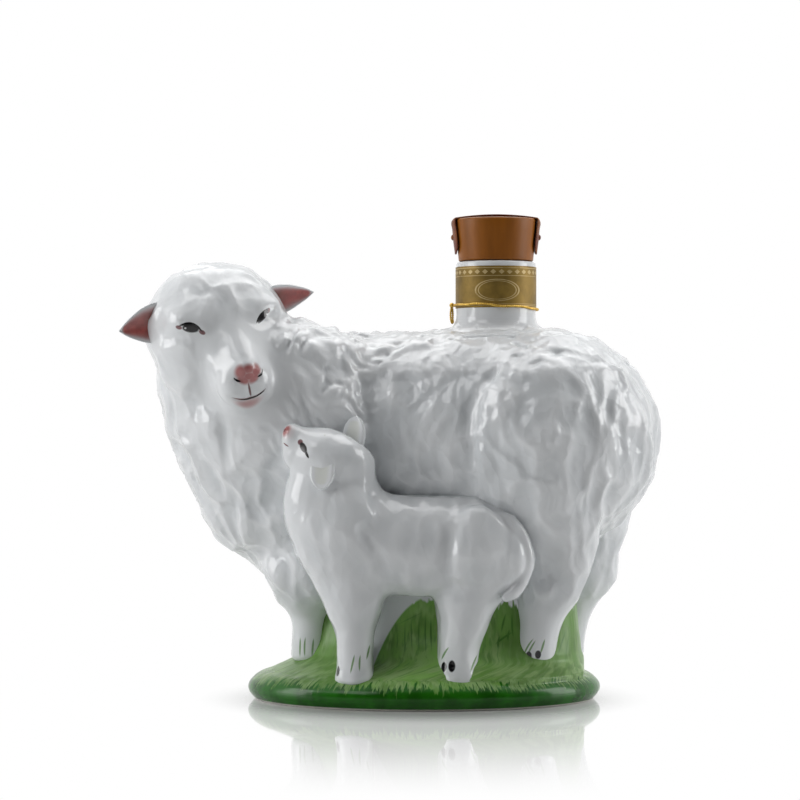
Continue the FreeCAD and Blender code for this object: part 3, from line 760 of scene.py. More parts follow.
# BREAST rows: height, forward of the fore feet, to the far side, half length and half width.
# Leg rows: height, lean to the rump, outward, half length and half width.
# FACE rows: distance along the face, rise of its middle, half width and half height.
# Rows of the edges, grooves, mouth and tail: a point and a radius.
BREAST = (
    (44.0, 4.0, -3.0, 15.0, 17.0),
    (52.0, 6.0, -4.0, 24.0, 23.0),
    (60.0, 8.0, -6.0, 33.0, 28.0),
    (72.0, 8.0, -8.0, 38.0, 32.0),
    (88.0, 8.0, -12.0, 44.0, 35.0),
    (104.0, 11.5, -17.0, 45.0, 33.0),
    (120.0, 16.8, -21.0, 41.0, 28.0),
    (132.0, 19.0, -22.0, 37.0, 22.0),
    (140.0, 26.0, -22.0, 24.0, 14.0),
)
FORE_LEG = (
    (14.0, -1.0, 0.0, 6.6, 6.6),
    (20.0, -1.0, 0.0, 6.4, 6.4),
    (30.0, -1.0, 0.0, 6.8, 6.8),
    (39.0, -1.5, 0.0, 12.9, 12.9),
    (48.0, -2.0, 0.0, 15.4, 15.4),
    (58.0, -2.0, 0.0, 13.4, 13.4),
    (68.0, 0.0, 0.0, 7.4, 7.4),
)
HIND_LEG = (
    (14.0, -2.0, 0.0, 7.0, 7.0),
    (21.0, -2.0, 0.0, 7.4, 7.4),
    (31.0, 0.0, 0.0, 8.2, 8.0),
    (40.0, 2.0, 0.0, 12.4, 10.0),
    (52.0, 3.0, 0.0, 15.9, 11.5),
    (66.0, 1.0, 1.0, 20.5, 15.0),
    (80.0, -1.0, 2.5, 23.5, 18.5),
    (94.0, -2.0, 3.5, 25.0, 20.0),
    (110.0, -2.0, 3.0, 24.0, 18.0),
    (124.0, -1.0, 0.5, 19.0, 12.5),
    (132.0, 0.0, -6.0, 12.0, 5.0),
)
MOUTH = ((-7.2, -6.3, 40.2, 0.4), (-3.2, -7.9, 41.6, 0.6), (0.4, -8.0, 41.9, 0.6), (3.0, -7.0, 41.9, 0.6),
         (6.4, -4.7, 41.0, 0.4))
FACE = ((0.0, 0.0, 24.0, 21.0), (10.0, 0.0, 21.0, 19.5), (18.0, -0.6, 16.8, 16.4), (25.0, -2.0, 12.8, 13.6),
        (32.0, -3.6, 9.6, 11.4), (37.0, -4.6, 8.4, 9.6), (41.0, -5.2, 6.6, 7.2))
HAUNCH_EDGE = ((33.0, 29.5, 68.0, 5.0), (28.5, 33.0, 82.0, 5.5), (27.0, 34.0, 96.0, 5.5),
               (30.5, 32.5, 110.0, 5.0), (38.0, 26.0, 122.0, 4.0))
FLANK_GROOVE = ((26.5, 37.8, 74.0, 1.0), (21.5, 38.4, 88.0, 1.6), (20.0, 37.8, 101.0, 2.2),
                (23.0, 35.6, 113.0, 2.4), (29.0, 32.0, 121.0, 1.6))
MANE_GROOVE = ((-16.2, -38.0, 98.0, 1.2), (-15.6, -36.6, 108.0, 1.7), (-15.4, -34.6, 117.0, 2.2),
               (-15.8, -30.5, 125.0, 1.6))
TAIL = ((60.0, 0.0, 119.0, 7.0), (70.5, 0.0, 110.0, 7.8), (75.6, 0.0, 99.0, 8.2), (73.5, 0.0, 84.0, 7.6),
        (66.0, 0.0, 69.0, 5.0))
# The near and the far side, and how much further back the hind leg stands there.
SIDES = ((-1, 0), (1, 4))
BARREL_RUN = (-43.0, 41.5)
BARREL_ENDS = (26.0, 41.0)
BARREL_POWER = 2.3
FORE_GIRTH = 0.955
SKULL = egg((0, 3, 0), (25.5, 21.5, 23.5))
MUZZLE = stack([(out, 0, rise, wide, tall) for out, rise, wide, tall in FACE], end=6.0)
CHEEKS = mirrored(egg((13, -5, 11), (10.0, 13, 12)))
NOSE_BRIDGE = limb((0, 10.6, 16), (0, 2.6, 37.0), 5.0, 3.9)
CHIN = egg((0, -11.8, 31), (6.6, 4.0, 7.5))
LIPS = mirrored(egg((3.6, -4.6, 35.2), (5.0, 5.6, 5.4)))
BROWS = mirrored(egg((12.0, 13.2, 12.5), (8.0, 4.0, 6.0)))
LIP_CLEFT = egg((0, -4.6, 43.2), (0.5, 3.4, 2.6))
NOSTRILS = mirrored(egg((4.0, -0.4, 41.6), (2.0, 0.8, 2.2), 0.4))
WOOL_COLLAR = limb((0, 0, 118), (0, 0, 133), 16.0, 15.0)
NECK_WELL = limb((0, 0, 106), (0, 0, 180), 10.6, 10.6)
EWE_GRID = (grid_lines((-106, -46, 0.75), (-46, 92, 1.15)), grid_lines((-60, -14, 0.85), (-14, 52, 1.15)),
            grid_lines((10, 104, 1.15), (104, 164, 0.75)))


def leg_rows(rows, along, side, half_track):
    """Leg rows in the ewe's frame: the foot's place, plus the lean to the rump and the shift outwards."""
    return [(z, along + lean, side * (half_track + outward), a, b) for z, lean, outward, a, b in rows]


def ewe_figure(ewe):
    """The ewe as one body of clay: barrel, breast, legs, tail and head, with a well for the bottle's neck."""
    body, head = ewe_stand(ewe), head_stand(ewe)
    neck = Stand((*mm(settings().neck.axis), 0), np.eye(3))
    half_height, half_width = mm(ewe.girth) / 2, mm(ewe.width) / 2
    axis = mm(ewe.back) - half_height
    fore, hind, half_track = -mm(ewe.wheelbase) / 2, mm(ewe.wheelbase) / 2, mm(ewe.track) / 2
    clay = Figure()
    clay.add(body, 0, barrel(*BARREL_RUN, axis, (FORE_GIRTH * half_height, half_height),
                             half_width / half_height, BARREL_ENDS, BARREL_POWER))
    clay.add(body, 3.0, stack([(z, fore - forward, far, a, b) for z, forward, far, a, b in BREAST]))
    clay.add(body, 4.0, *(stack(leg_rows(FORE_LEG, fore, side, half_track)) for side, _ in SIDES))
    clay.add(body, 3.0, *(stack(leg_rows(HIND_LEG, hind + step, side, half_track)) for side, step in SIDES))
    for side, step in SIDES:
        clay.add(body, 2.5, rope([(x + step, side * y, z, r) for x, y, z, r in HAUNCH_EDGE], 8))
        clay.press(body, 2.0, rope([(x + step, side * y, z, r) for x, y, z, r in FLANK_GROOVE], 6))
    clay.press(body, 1.6, rope(MANE_GROOVE, 5))
    clay.add(body, 0.8, rope(TAIL))
    clay.add(head, 6.0, SKULL, MUZZLE, CHEEKS)
    clay.add(head, 3.0, NOSE_BRIDGE, CHIN, LIPS)
    clay.add(head, 6.0, BROWS)
    clay.press(head, 0.8, rope(MOUTH, 9), LIP_CLEFT, NOSTRILS)
    clay.add(neck, 5.0, WOOL_COLLAR)
    clay.press(neck, 0.6, NECK_WELL)
    return clay


def crease(n):
    """Rounded ridge of a random field: sqrt(n^2 + 0.02), zero in the creases and about 0.5 on the locks."""
    return np.sqrt(n * n + 0.02) - 0.14


def ewe_relief(points, ewe, depth):
    """Height of the wool along the normal, and how woolly the glaze is at each point.

    Scoops are pressed all over, long ones on flank and rump; the mane has locks and the back has pits.
    """
    head = head_stand(ewe).local(points)
    along = ewe_stand(ewe).local(points)[:, 0]
    x, y, z = points.T
    side, crown, face = head.T
    bare_face = 0.82 * ramp(face, 7, 16) * ramp(np.hypot(side / 15, (crown + 2) / 17), 1.3, 0.95)
    bare_leg = ramp(z, 40, 31)
    skull = ramp(np.linalg.norm(head, axis=1), 34, 27)
    mane = ramp(along, -8, -20) * ramp(z, 84, 100) * (1 - skull) * ramp(x, -72, -58)
    back = ramp(z, 117, 125) * (1 - mane) * (1 - skull)
    rump = ramp(along, 50, 62) * (1 - back)
    haunch = ramp(along, 20, 26) * (1 - rump) * (1 - back)
    flank = ramp(along, -20, -14) * (1 - haunch) * (1 - rump) * (1 - back)
    breast = (1 - mane) * (1 - back) * (1 - skull) * ramp(along, -14, -20)
    soft = points + np.stack([clouds(points / 15, seed) for seed in (1, 2, 3)], 1) * 6.0
    sx, sy, sz = soft.T
    slant = np.stack((0.94 * sx + 0.34 * sz, sy, 0.94 * sz - 0.34 * sx), 1)
    swept = np.stack((0.85 * sx + 0.52 * sz, sy, (0.52 * sx - 0.85 * sz) / 1.9), 1)
    lumps = clouds(soft / (10, 10, 13), 5)
    broad = pressed(slant, (7.4, 7.4, 12.5), 7)
    tall = pressed(soft, (6.4, 6.4, 25), 8)
    tuft = pressed(soft, (6.2, 6.2, 6.6), 11)
    small = pressed(soft, (3.7, 3.7, 5.6), 14)
    locks = crease(clouds(swept / 6.2, 9))
    pits = ramp(clouds(soft / (5.0, 5.0, 5.5), 12), 0.25, 0.55)
    hem = ramp(z + 3.5 * clouds(np.stack((x, y, 0 * z), 1) / 8, 13), 117, 121) - 0.5
    height = ((0.9 + 0.7 * breast) * lumps
              + broad * (2.0 * breast + 2.1 * haunch + 0.7 * mane + 1.1 * skull)
              + tall * (1.6 * flank + 2.1 * rump)
              + 1.2 * tuft * back
              + 2.6 * mane * locks
              - 0.9 * (back + 0.7 * mane) * pits
              + 0.25 * small * (1 - mane)
              + 1.1 * hem * ramp(along, -26, -16) * ramp(along, 52, 40))
    wool = (1 - bare_face) * (1 - bare_leg)
    return depth * wool * height, wool * (1 - 0.6 * skull)


class DECANTER_OT_ewe(Operator):
    """Model the ewe's body, legs and head in one piece"""
    bl_idname = "decanter.ewe"
    bl_label = "Ewe"

    def execute(self, context):
        ewe, depth = settings().ewe, mm(settings().ewe.wool)
        points, normals, faces = modelled(ewe_figure(ewe), EWE_GRID)
        relief, wool = ewe_relief(points, ewe, depth)
        points = points + normals * relief[:, None]
        mesh_piece("ewe", points, faces, "decanter",
                   ("ewe_body", "ewe_breast", "ewe_head", "ewe_near_fore_leg", "ewe_far_fore_leg",
                    "ewe_near_hind_leg", "ewe_far_hind_leg"),
                   ewe_glaze(ewe, settings().finish),
                   (("relief", relief / depth), ("wool", wool)))
        return {"FINISHED"}


# Painted marks: a tint, the two ends of a stroke, its half width, its rise and the way that it faces.
EWE_FACE = (
    ("wash", (-7.6, -6.8, 38.8), (6.2, -5.8, 40.4), 3.6, -3.4, (0, 0, 1)),
    ("wash", (-3.4, 1.4, 40.0), (3.4, 1.4, 40.2), 4.6, 0.0, (0, 0.2, 1)),
    ("lip", (-7.0, -8.1, 39.5), (6.0, -7.0, 40.9), 2.7, -2.2, (-0.1, -0.2, 1)),
    ("pink", (-5.6, 2.6, 38.6), (0.6, 2.4, 40.6), 3.7, 0.0, (-0.2, 0.3, 0.9)),
    ("pink", (-0.4, 2.3, 40.6), (6.0, 2.2, 38.5), 3.5, 0.0, (0.2, 0.3, 0.9)),
    ("pink", (-5.0, 1.6, 39.4), (1.0, -1.9, 41.0), 2.2, 0.0, (-0.1, 0.2, 1)),
    ("pink", (5.0, 1.6, 39.3), (-1.2, -1.9, 41.0), 2.1, 0.0, (0.1, 0.2, 1)),
    ("pink", (-3.4, 3.6, 39.9), (3.6, 3.4, 39.9), 2.6, 0.0, (0, 0.3, 1)),
    ("pink", (-3.2, 1.2, 40.7), (3.4, 1.0, 40.7), 2.4, 0.0, (0, 0.1, 1)),
    ("lid", (-19.6, 12.7, 16.6), (-17.0, 12.6, 18.0), 0.95, 0.0, (-0.6, 0.1, 0.75)),
    ("lid", (-12.1, 12.1, 20.9), (-9.8, 10.7, 22.2), 0.95, 0.0, (-0.4, 0.4, 0.82)),
    ("lid", (14.3, 13.3, 19.5), (15.8, 14.8, 18.2), 0.75, 0.0, (0.38, 0.4, 0.83)),
    ("lid", (-0.4, -1.0, 41.1), (0.4, -7.4, 41.0), 0.5, 0.0, (0, 0, 1)),
    ("lid", (-7.2, -6.4, 39.8), (6.8, -4.4, 40.9), 0.6, -2.2, (0, 0, 1)),
    ("dark", (-5.2, 0.7, 38.8), (-2.8, -0.6, 40.5), 0.45, -0.4, (-0.3, 0.4, 0.85)),
    ("dark", (3.2, -0.2, 40.2), (6.0, 1.9, 38.2), 0.45, -0.7, (0.3, 0.4, 0.85)),
    ("dark", (-4.6, -7.6, 40.8), (6.4, -4.8, 41.0), 0.4, -1.3, (0, 0, 1)),
    ("dark", (-17.6, 12.7, 18.0), (-11.5, 12.2, 20.9), 1.95, 0.4, (-0.42, 0.25, 0.87)),
    ("dark", (-19.0, 12.7, 16.9), (-10.4, 11.0, 21.8), 0.75, 2.3, (-0.42, 0.3, 0.85)),
    ("dark", (9.4, 11.3, 22.2), (15.3, 14.5, 18.6), 1.4, 0.2, (0.35, 0.32, 0.88)),
    ("dark", (8.8, 11.2, 22.5), (15.8, 14.8, 18.2), 0.55, 0.9, (0.35, 0.4, 0.85)),
    # Painted highlights: a small white glint in each eye.
    ("notch", (-16.6, 12.5, 18.5), (-15.9, 12.8, 18.9), 0.4, 0.0, (-0.46, 0.22, 0.86)),
    ("notch", (13.8, 12.8, 19.8), (14.4, 13.2, 19.4), 0.34, 0.0, (0.35, 0.28, 0.89)),
)
EWE_HOOVES = (
    ((-50.1, -20.0, 15.4), (-50.0, -19.6, 18.6), 1.1, (-0.9, -0.4, 0)),
    ((39.6, -25.0, 17.0), (39.9, -25.4, 20.4), 1.25, (-0.14, -0.99, 0)),
    ((43.0, -25.0, 17.4), (43.3, -25.2, 20.8), 1.25, (0.3, -0.95, 0)),
    ((-50.4, 16.0, 16.0), (-50.2, 16.0, 19.2), 1.2, (-1, 0, 0)),
    ((-50.4, 20.0, 16.0), (-50.2, 20.0, 19.2), 1.2, (-1, 0, 0)),
    ((39.6, 16.0, 16.0), (39.8, 16.0, 19.2), 1.2, (-1, 0, 0)),
    ((39.6, 20.0, 16.0), (39.8, 20.0, 19.2), 1.2, (-1, 0, 0)),
)
EWE_GRASS = (
    ((-45.6, -24.2, 15.6), (-45.5, -24.0, 23.6), 0.0),
    ((-43.6, -24.4, 15.6), (-43.4, -24.2, 23.8), 0.3),
    ((-41.2, -23.8, 15.6), (-40.6, -23.4, 23.4), 0.0),
    ((37.6, -24.7, 17.8), (41.9, -25.5, 25.2), 0.5),
    ((38.8, -25.0, 17.8), (42.6, -25.3, 24.6), 0.2),
    ((43.8, -24.7, 19.0), (45.6, -24.4, 25.0), 0.0),
)


def ewe_glaze(ewe, finish):
    """White glaze with the painted eyes, nose, mouth and feet of the ewe."""
    painted = ((head_stand(ewe), EWE_FACE), (ewe_stand(ewe), foot_marks(EWE_HOOVES, EWE_GRASS)))
    return figure_glaze("ewe_glaze", finish, painted, 0.3, 0.0014)


EAR_RINGS = 44
EAR_COLUMNS = 56


def leaf(root, tip, front, width, thickness, cup, outline):
    """Ear as rings from root to tip, of half width W f(u), with f a cubic through the outline's rows.

    It is bowed back by cup (1 - (x/w)^2). Gives points, faces and, for the paint, how deep each point lies in
    the scoop and how far along the ear it is.
    """
    root, reach = np.array(root, float), np.array(tip, float) - np.array(root, float)
    front = np.array(front, float) - reach * np.dot(front, reach) / reach.dot(reach)
    front /= np.linalg.norm(front)
    edge = np.cross(reach / np.linalg.norm(reach), front)
    u = 1 - (1 - np.linspace(-0.18, 0.995, EAR_RINGS)[:, None]) ** 1.4
    v = circle(EAR_COLUMNS)[None, :]
    c, s = np.cos(v), np.sin(v)
    full = hermite(u[:, 0], *zip(*((at, (share,)) for at, share in outline)))
    x = width / 2 * full * c
    hollow = s ** 2 * np.clip(full * 1.3, 0, 1)
    rim = 0.2 * thickness * np.abs(c) ** 6
    y = (thickness / 2 * np.sign(s) * np.abs(s) ** 0.6 * (0.3 + 0.7 * full)
         - cup * hollow * np.where(s > 0, 1.25, 1.0) + rim * s)
    rings = root + reach * u[..., None] + edge * x[..., None] + front * y[..., None]
    points, faces = closed_tube(rings)
    scoop = np.where(s > 0, 1 - np.abs(c) ** 2.5, 0) * ramp(1 - u, 0.0, 0.16) + 0 * u
    return points, faces, (("scoop", np.append(scoop.ravel(), (0, 0))),
                           ("along", np.append((u + 0 * v).ravel(), (0, 1))))


# Outline rows: distance along the ear and share of its half width.
# Ear rows: a name, the root, the reach in ear lengths, the way that it faces and a share of the width.
EWE_EAR = ((-0.18, 0.92), (0.0, 0.94), (0.3, 0.83), (0.6, 0.57), (0.85, 0.27), (1.0, 0.03))
EWE_EARS = (
    ("ewe_left_ear", (22.6, 9.0, 2.5), (1.06, 0.0, -0.12), (-0.1, 0.0, 1), 0.84),
    ("ewe_right_ear", (-22.2, 8.2, 2.5), (-0.99, -0.02, 0.06), (-0.3, 0.3, 1), 1.0),
)
EAR_PINKS = ((0.50, 0.115, 0.10), (0.36, 0.085, 0.075))


class DECANTER_OT_ewe_ears(Operator):
    """Model the ewe's two ears"""
    bl_idname = "decanter.ewe_ears"
    bl_label = "Ewe's ears"

    def execute(self, context):
        ewe = settings().ewe
        head = head_stand(ewe)
        length, material = mm(ewe.ear_length), ear_glaze(settings().finish)
        for name, root, reach, front, share in EWE_EARS:
            start = head.place(*root)
            tip = start + length * np.array(reach) @ head.rows
            points, faces, marks = leaf(start, tip, np.array(front) @ head.rows, share * mm(ewe.ear_width),
                                        thickness=2.0, cup=1.3, outline=EWE_EAR)
            mesh_piece(name, points, faces, "decanter", (name,), material, marks)
        return {"FINISHED"}


def ear_glaze(finish):
    """White glaze with brushed pink in the scoop, browner at its root."""
    paint = Paint("ear_glaze", 0.14)
    scoop = paint.math("MULTIPLY_ADD", paint.noise(260), 0.25, paint.attribute("scoop"))
    blush = paint.mix(paint.ramp(scoop, 0.2, 0.9), finish.white, blend(finish.pink, 0.75, finish.white, 0.3))
    pink = paint.mottle(paint.noise(420, 3, 0.6), *EAR_PINKS)
    root = paint.ramp(paint.attribute("along"), 0.45, 0.0)
    pink = paint.mix(root, pink, blend(finish.ear_root, 0.8, finish.pink, 0.35))
    core = paint.times(paint.ramp(scoop, 0.55, 1.12), 0.95)
    return paint.finish(paint.mix(core, blush, pink), paint.noise(260), 0.05)


# Lamb

# LAMB_TORSO rows: share of the length, lift of the middle, half width and half height as shares.
# Leg rows: rise over the feet, lean to the rump and fullness.
# Groove and tail rows: a point over the axis and a radius.
LAMB_TORSO = (
    (-0.60, 3.5, 0.66, 0.62),
    (-0.52, 3.5, 0.88, 0.86),
    (-0.36, 2.5, 1.0, 1.02),
    (-0.10, 0.0, 0.98, 0.98),
    (0.20, 0.0, 0.98, 0.98),
    (0.32, -0.4, 0.98, 0.97),
    (0.43, -1.7, 0.94, 0.85),
    (0.50, -3.2, 0.82, 0.62),
    (0.545, -4.2, 0.55, 0.32),
)
LAMB_FORE = ((0, 0.0, 1.12), (8, 0.0, 1.0), (18, 0.0, 1.08), (28, -0.5, 1.62), (39, -2.0, 2.15),
             (50, -2.5, 2.0))
LAMB_HIND = ((0, -3.2, 1.26), (5, -3.1, 1.12), (12.5, -2.4, 1.14), (22, -0.8, 1.40), (30.5, 1.2, 1.85),
             (39, 5.5, 2.4), (50, 9.0, 2.3))
LAMB_TAIL = ((24.0, -7.0, 11.5, 2.0), (31.0, -10.0, 8.5, 2.8), (35.8, -9.5, 1.0, 3.0),
             (36.6, -8.5, -7.0, 3.0), (33.5, -9.0, -14.5, 2.6), (29.5, -10.0, -18.0, 1.8))
LAMB_GROOVES = (
    ((11.0, -16.6, 9, 0.9), (9.0, -16.8, 0, 1.5), (7.0, -15.4, -11, 1.4)),
    ((-21.0, -17.4, 6, 0.8), (-15.5, -17.0, -4, 1.5), (-13.0, -15.6, -14, 1.4)),
)
LAMB_SKULL = egg((0, -3.8, -1.0), (10.5, 9.4, 12.5))
LAMB_MUZZLE = limb((0, -2.5, 6), (0, -0.6, 13.2), 7.6, 5.0)
LAMB_JAW = limb((0, -8, 2), (0, -6.6, 12.2), 6.4, 4.0)
LAMB_NOSE = egg((0, 1.2, 15.4), (4.0, 3.2, 2.6))
LAMB_FOOT = 8.5
LAMB_FORWARD = 4.0
LAMB_GRID = (grid_lines((-56, 48, 0.75)), grid_lines((-56, -8, 0.75)), grid_lines((6, 114, 0.75)))


def lamb_figure(lamb):
    """The lamb as one body of clay: barrel, neck, head, legs, haunch, shoulder and tail."""
    body, head = lamb_stand(lamb), lamb_head_stand(lamb)
    length, half_width, half_girth = mm(lamb.length), mm(lamb.width) / 2, mm(lamb.girth) / 2
    axis, top = mm(lamb.back) - half_girth, mm(lamb.head)[2]
    shank = mm(lamb.shank)

    def raised(rows):
        return [(x, y, axis + z, r) for x, y, z, r in rows]

    clay = Figure()
    clay.add(body, 0, stack([(length * share, 0, axis + lift, half_width * wide, half_girth * tall)
                             for share, lift, wide, tall in LAMB_TORSO], (1, 2, 0), 6.0))
    clay.add(body, 5.0, stack(((axis - 6, -28.0, 0.0, 15.5, 13.0), (axis + 10, -31.5, -1.0, 18.0, 13.0),
                               (top - 12, -32.0, -3.0, 16.0, 11.5), (top - 1, -30.0, -4.5, 12.0, 9.0)),
                              end=6.0))
    clay.add(head, 4.0, LAMB_SKULL, LAMB_MUZZLE, LAMB_JAW)
    clay.add(head, 1.5, LAMB_NOSE)
    for rows, way, step in ((LAMB_FORE, -1, 0), (LAMB_HIND, 1, 1)):
        along = way * mm(lamb.stride) / 2 - LAMB_FORWARD
        for across, shift in ((-2.5, 0), (3.0, -step)):
            clay.add(body, 4.0, stack([(LAMB_FOOT + rise, along + shift + lean, across, shank * full,
                                        shank * min(full, 1.7) * 0.92) for rise, lean, full in rows]))
    haunch = egg((19.0, -12.0, axis + 1), (9.5, 5.6, 14.0))
    shoulder = egg((-26.0, -12.0, axis + 8), (9.5, 5.6, 13.0))
    clay.add(body, 3.0, haunch, shoulder)
    clay.press(body, 3.5, *(rope(raised(rows), 6) for rows in LAMB_GROOVES))
    clay.add(body, 0.6, rope(raised(LAMB_TAIL), 16))
    return clay


class DECANTER_OT_lamb(Operator):
    """Model the lamb in one piece"""
    bl_idname = "decanter.lamb"
    bl_label = "Lamb"

    def execute(self, context):
        lamb = settings().lamb
        points, normals, faces = modelled(lamb_figure(lamb), LAMB_GRID)
        face = lamb_head_stand(lamb).local(points)
        wool = 1 - ramp(face[:, 2], 1, 6) * ramp(np.linalg.norm(face, axis=1), 26, 20)
        relief = wool * (0.7 * clouds(points / (6, 6, 9), 21) + 0.9 * pressed(points, (5.2, 5.2, 11), 22))
        points = points + normals * (relief * mm(lamb.wool))[:, None]
        mesh_piece("lamb", points, faces, "decanter", ("lamb_body",),
                   lamb_glaze(lamb, settings().finish), (("relief", relief), ("wool", wool)))
        return {"FINISHED"}


LAMB_FACE = (
    ("wash", (-3.4, 4.6, 15.6), (-2.6, -2.4, 17.2), 4.0, 0.0, (-0.4, 0.2, 0.9)),
    ("pink", (-3.2, 4.2, 16.2), (-2.2, -1.2, 17.8), 2.5, 0.0, (-0.4, 0.2, 0.9)),
    ("lid", (-2.8, 2.2, 17.4), (-2.0, 0.6, 18.0), 0.6, 0.0, (-0.39, 0.15, 0.9)),
    ("lid", (-2.4, -2.8, 17.2), (-4.4, -3.8, 14.8), 0.32, 0.0, (-0.6, -0.25, 0.7)),
    ("lid", (-5.5, -0.2, 11.9), (-6.7, -2.0, 10.5), 1.2, 0.0, (-0.86, 0.15, 0.49)),
    ("dark", (-6.1, -1.1, 11.2), (-8.2, -4.3, 8.0), 1.3, 0.0, (-0.86, 0.05, 0.5)),
    ("dark", (-7.2, -2.8, 9.4), (-9.0, -6.0, 6.8), 0.6, 0.0, (-0.86, -0.1, 0.5)),
)
LAMB_HOOVES = (
    ((-30.0, -4.6, 11.4), (-30.2, -4.4, 15.6), 1.5, (-0.9, -0.4, 0.1)),
    ((7.6, -6.2, 13.0), (8.0, -6.2, 17.2), 1.5, (-0.5, -0.85, 0)),
    ((10.4, -8.0, 13.2), (10.6, -8.0, 18.0), 1.5, (-0.2, -0.97, 0)),
    ((-30.4, 3.4, 12.0), (-30.5, 3.6, 15.4), 1.5, (-1, 0, 0)),
)
LAMB_GRASS = (
    ((-25.6, -8.3, 12.6), (-23.9, -8.2, 20.2), 0.0),
    ((-22.2, -8.0, 13.4), (-21.9, -7.8, 20.0), 0.2),
    ((-19.9, -6.6, 17.4), (-18.5, -5.2, 23.4), 0.0),
    ((6.4, -6.0, 16.6), (9.9, -7.0, 23.0), 0.3),
    ((16.8, -7.0, 12.6), (19.9, -6.0, 20.0), 0.2),
    ((18.6, -6.0, 13.6), (20.6, -5.4, 18.0), 0.0),
)
LAMB_EAR = ((-0.18, 0.08), (-0.1, 0.32), (0.0, 0.50), (0.3, 0.88), (0.6, 1.0), (0.85, 0.74),
            (0.95, 0.42), (1.0, 0.05))
LAMB_EARS = (
    ("lamb_left_ear", (-2.6, -7.3, 0.2), (-0.06, -0.22, -0.95), (-0.3, -1, 0.1)),
    ("lamb_right_ear", (6.6, 0.6, -5.6), (0.12, 0.08, 1.02), (-0.5, -1, 0.2)),
)
# Painted shade: a beige tint that darkens the lamb's ears deep in their scoops.
SCOOP_SHADE = (0.93, 0.93, 0.87)


def lamb_glaze(lamb, finish):
    """White glaze with the painted eyes, nose and feet of the lamb; its face is the same on both sides."""
    flip = np.array((-1, 1, 1))
    mirror = [(name, start * flip, end * flip, half, -rise, out * flip)
              for name, start, end, half, rise, out in LAMB_FACE]
    painted = ((lamb_head_stand(lamb), (*LAMB_FACE, *mirror)),
               (lamb_stand(lamb), foot_marks(LAMB_HOOVES, LAMB_GRASS)))
    return figure_glaze("lamb_glaze", finish, painted, 0.22, 0.0012)


class DECANTER_OT_lamb_ears(Operator):
    """Model the lamb's two ears"""
    bl_idname = "decanter.lamb_ears"
    bl_label = "Lamb's ears"

    def execute(self, context):
        lamb = settings().lamb
        head = mm(lamb.stand) + mm(lamb.head)
        length, material = mm(lamb.ear_length), lamb_ear_glaze(settings().finish)
        for name, root, reach, front in LAMB_EARS:
            start = head + root
            points, faces, marks = leaf(start, start + length * np.array(reach), front, 8.8,
                                        thickness=3.2, cup=0.5, outline=LAMB_EAR)
            mesh_piece(name, points, faces, "decanter", (name,), material, marks)
        return {"FINISHED"}


def lamb_ear_glaze(finish):
    """White glaze, with painted beige shade deep in the scoop of the ear."""
    paint = Paint("lamb_ear_glaze", 0.14)
    # Where the painted shade lies: deep in the scoop.
    mask = paint.ramp(paint.attribute("scoop"), 0.55, 1.0)
    return paint.finish(paint.mix(mask, finish.white, shade(finish.white, SCOOP_SHADE)), paint.noise(260), 0.05)


# Plinth

# RIM rows: share of the oval and height. MOUND rows: shares of the rise, the length and the depth.
RIM = ((0.02, 0.0), (0.5, 0.0), (0.85, 0.0), (0.94, 0.0), (0.955, 0.12), (0.964, 0.5), (0.98, 1.6),
       (0.995, 3.0), (1.0, 4.3), (0.996, 5.6), (0.985, 6.8), (0.97, 7.8), (0.955, 8.6), (0.93, 9.6),
       (0.90, 10.3), (0.87, 11.0))
MOUND = ((0.125, 0.985, 1.36), (0.18, 0.97, 1.19), (0.24, 0.965, 1.07), (0.32, 0.955, 1.0),
         (0.42, 0.945, 0.955), (0.55, 0.93, 0.915), (0.7, 0.91, 0.87), (0.85, 0.885, 0.83), (1.0, 0.86, 0.78))
MOUND_PLACE = (2.0, -3.0)
MOUND_POWER = 2.4
MOUND_OVERLAP = 9.0
TURF_COLUMNS = 420
TURF_DIVISIONS = 5
BRUSH_RADIUS = 55.0
BRUSH = ("round_x", "round_y", "run")


class DECANTER_OT_turf(Operator):
    """Model the oval plinth and the grass mound"""
    bl_idname = "decanter.turf"
    bl_label = "Turf plinth"

    def execute(self, context):
        points, faces, marks = turf_surface(settings().turf, settings().ewe)
        mesh_piece("grass_base", points, faces, "decanter", ("grass_base",),
                   turf_glaze(settings().finish), marks)
        return {"FINISHED"}


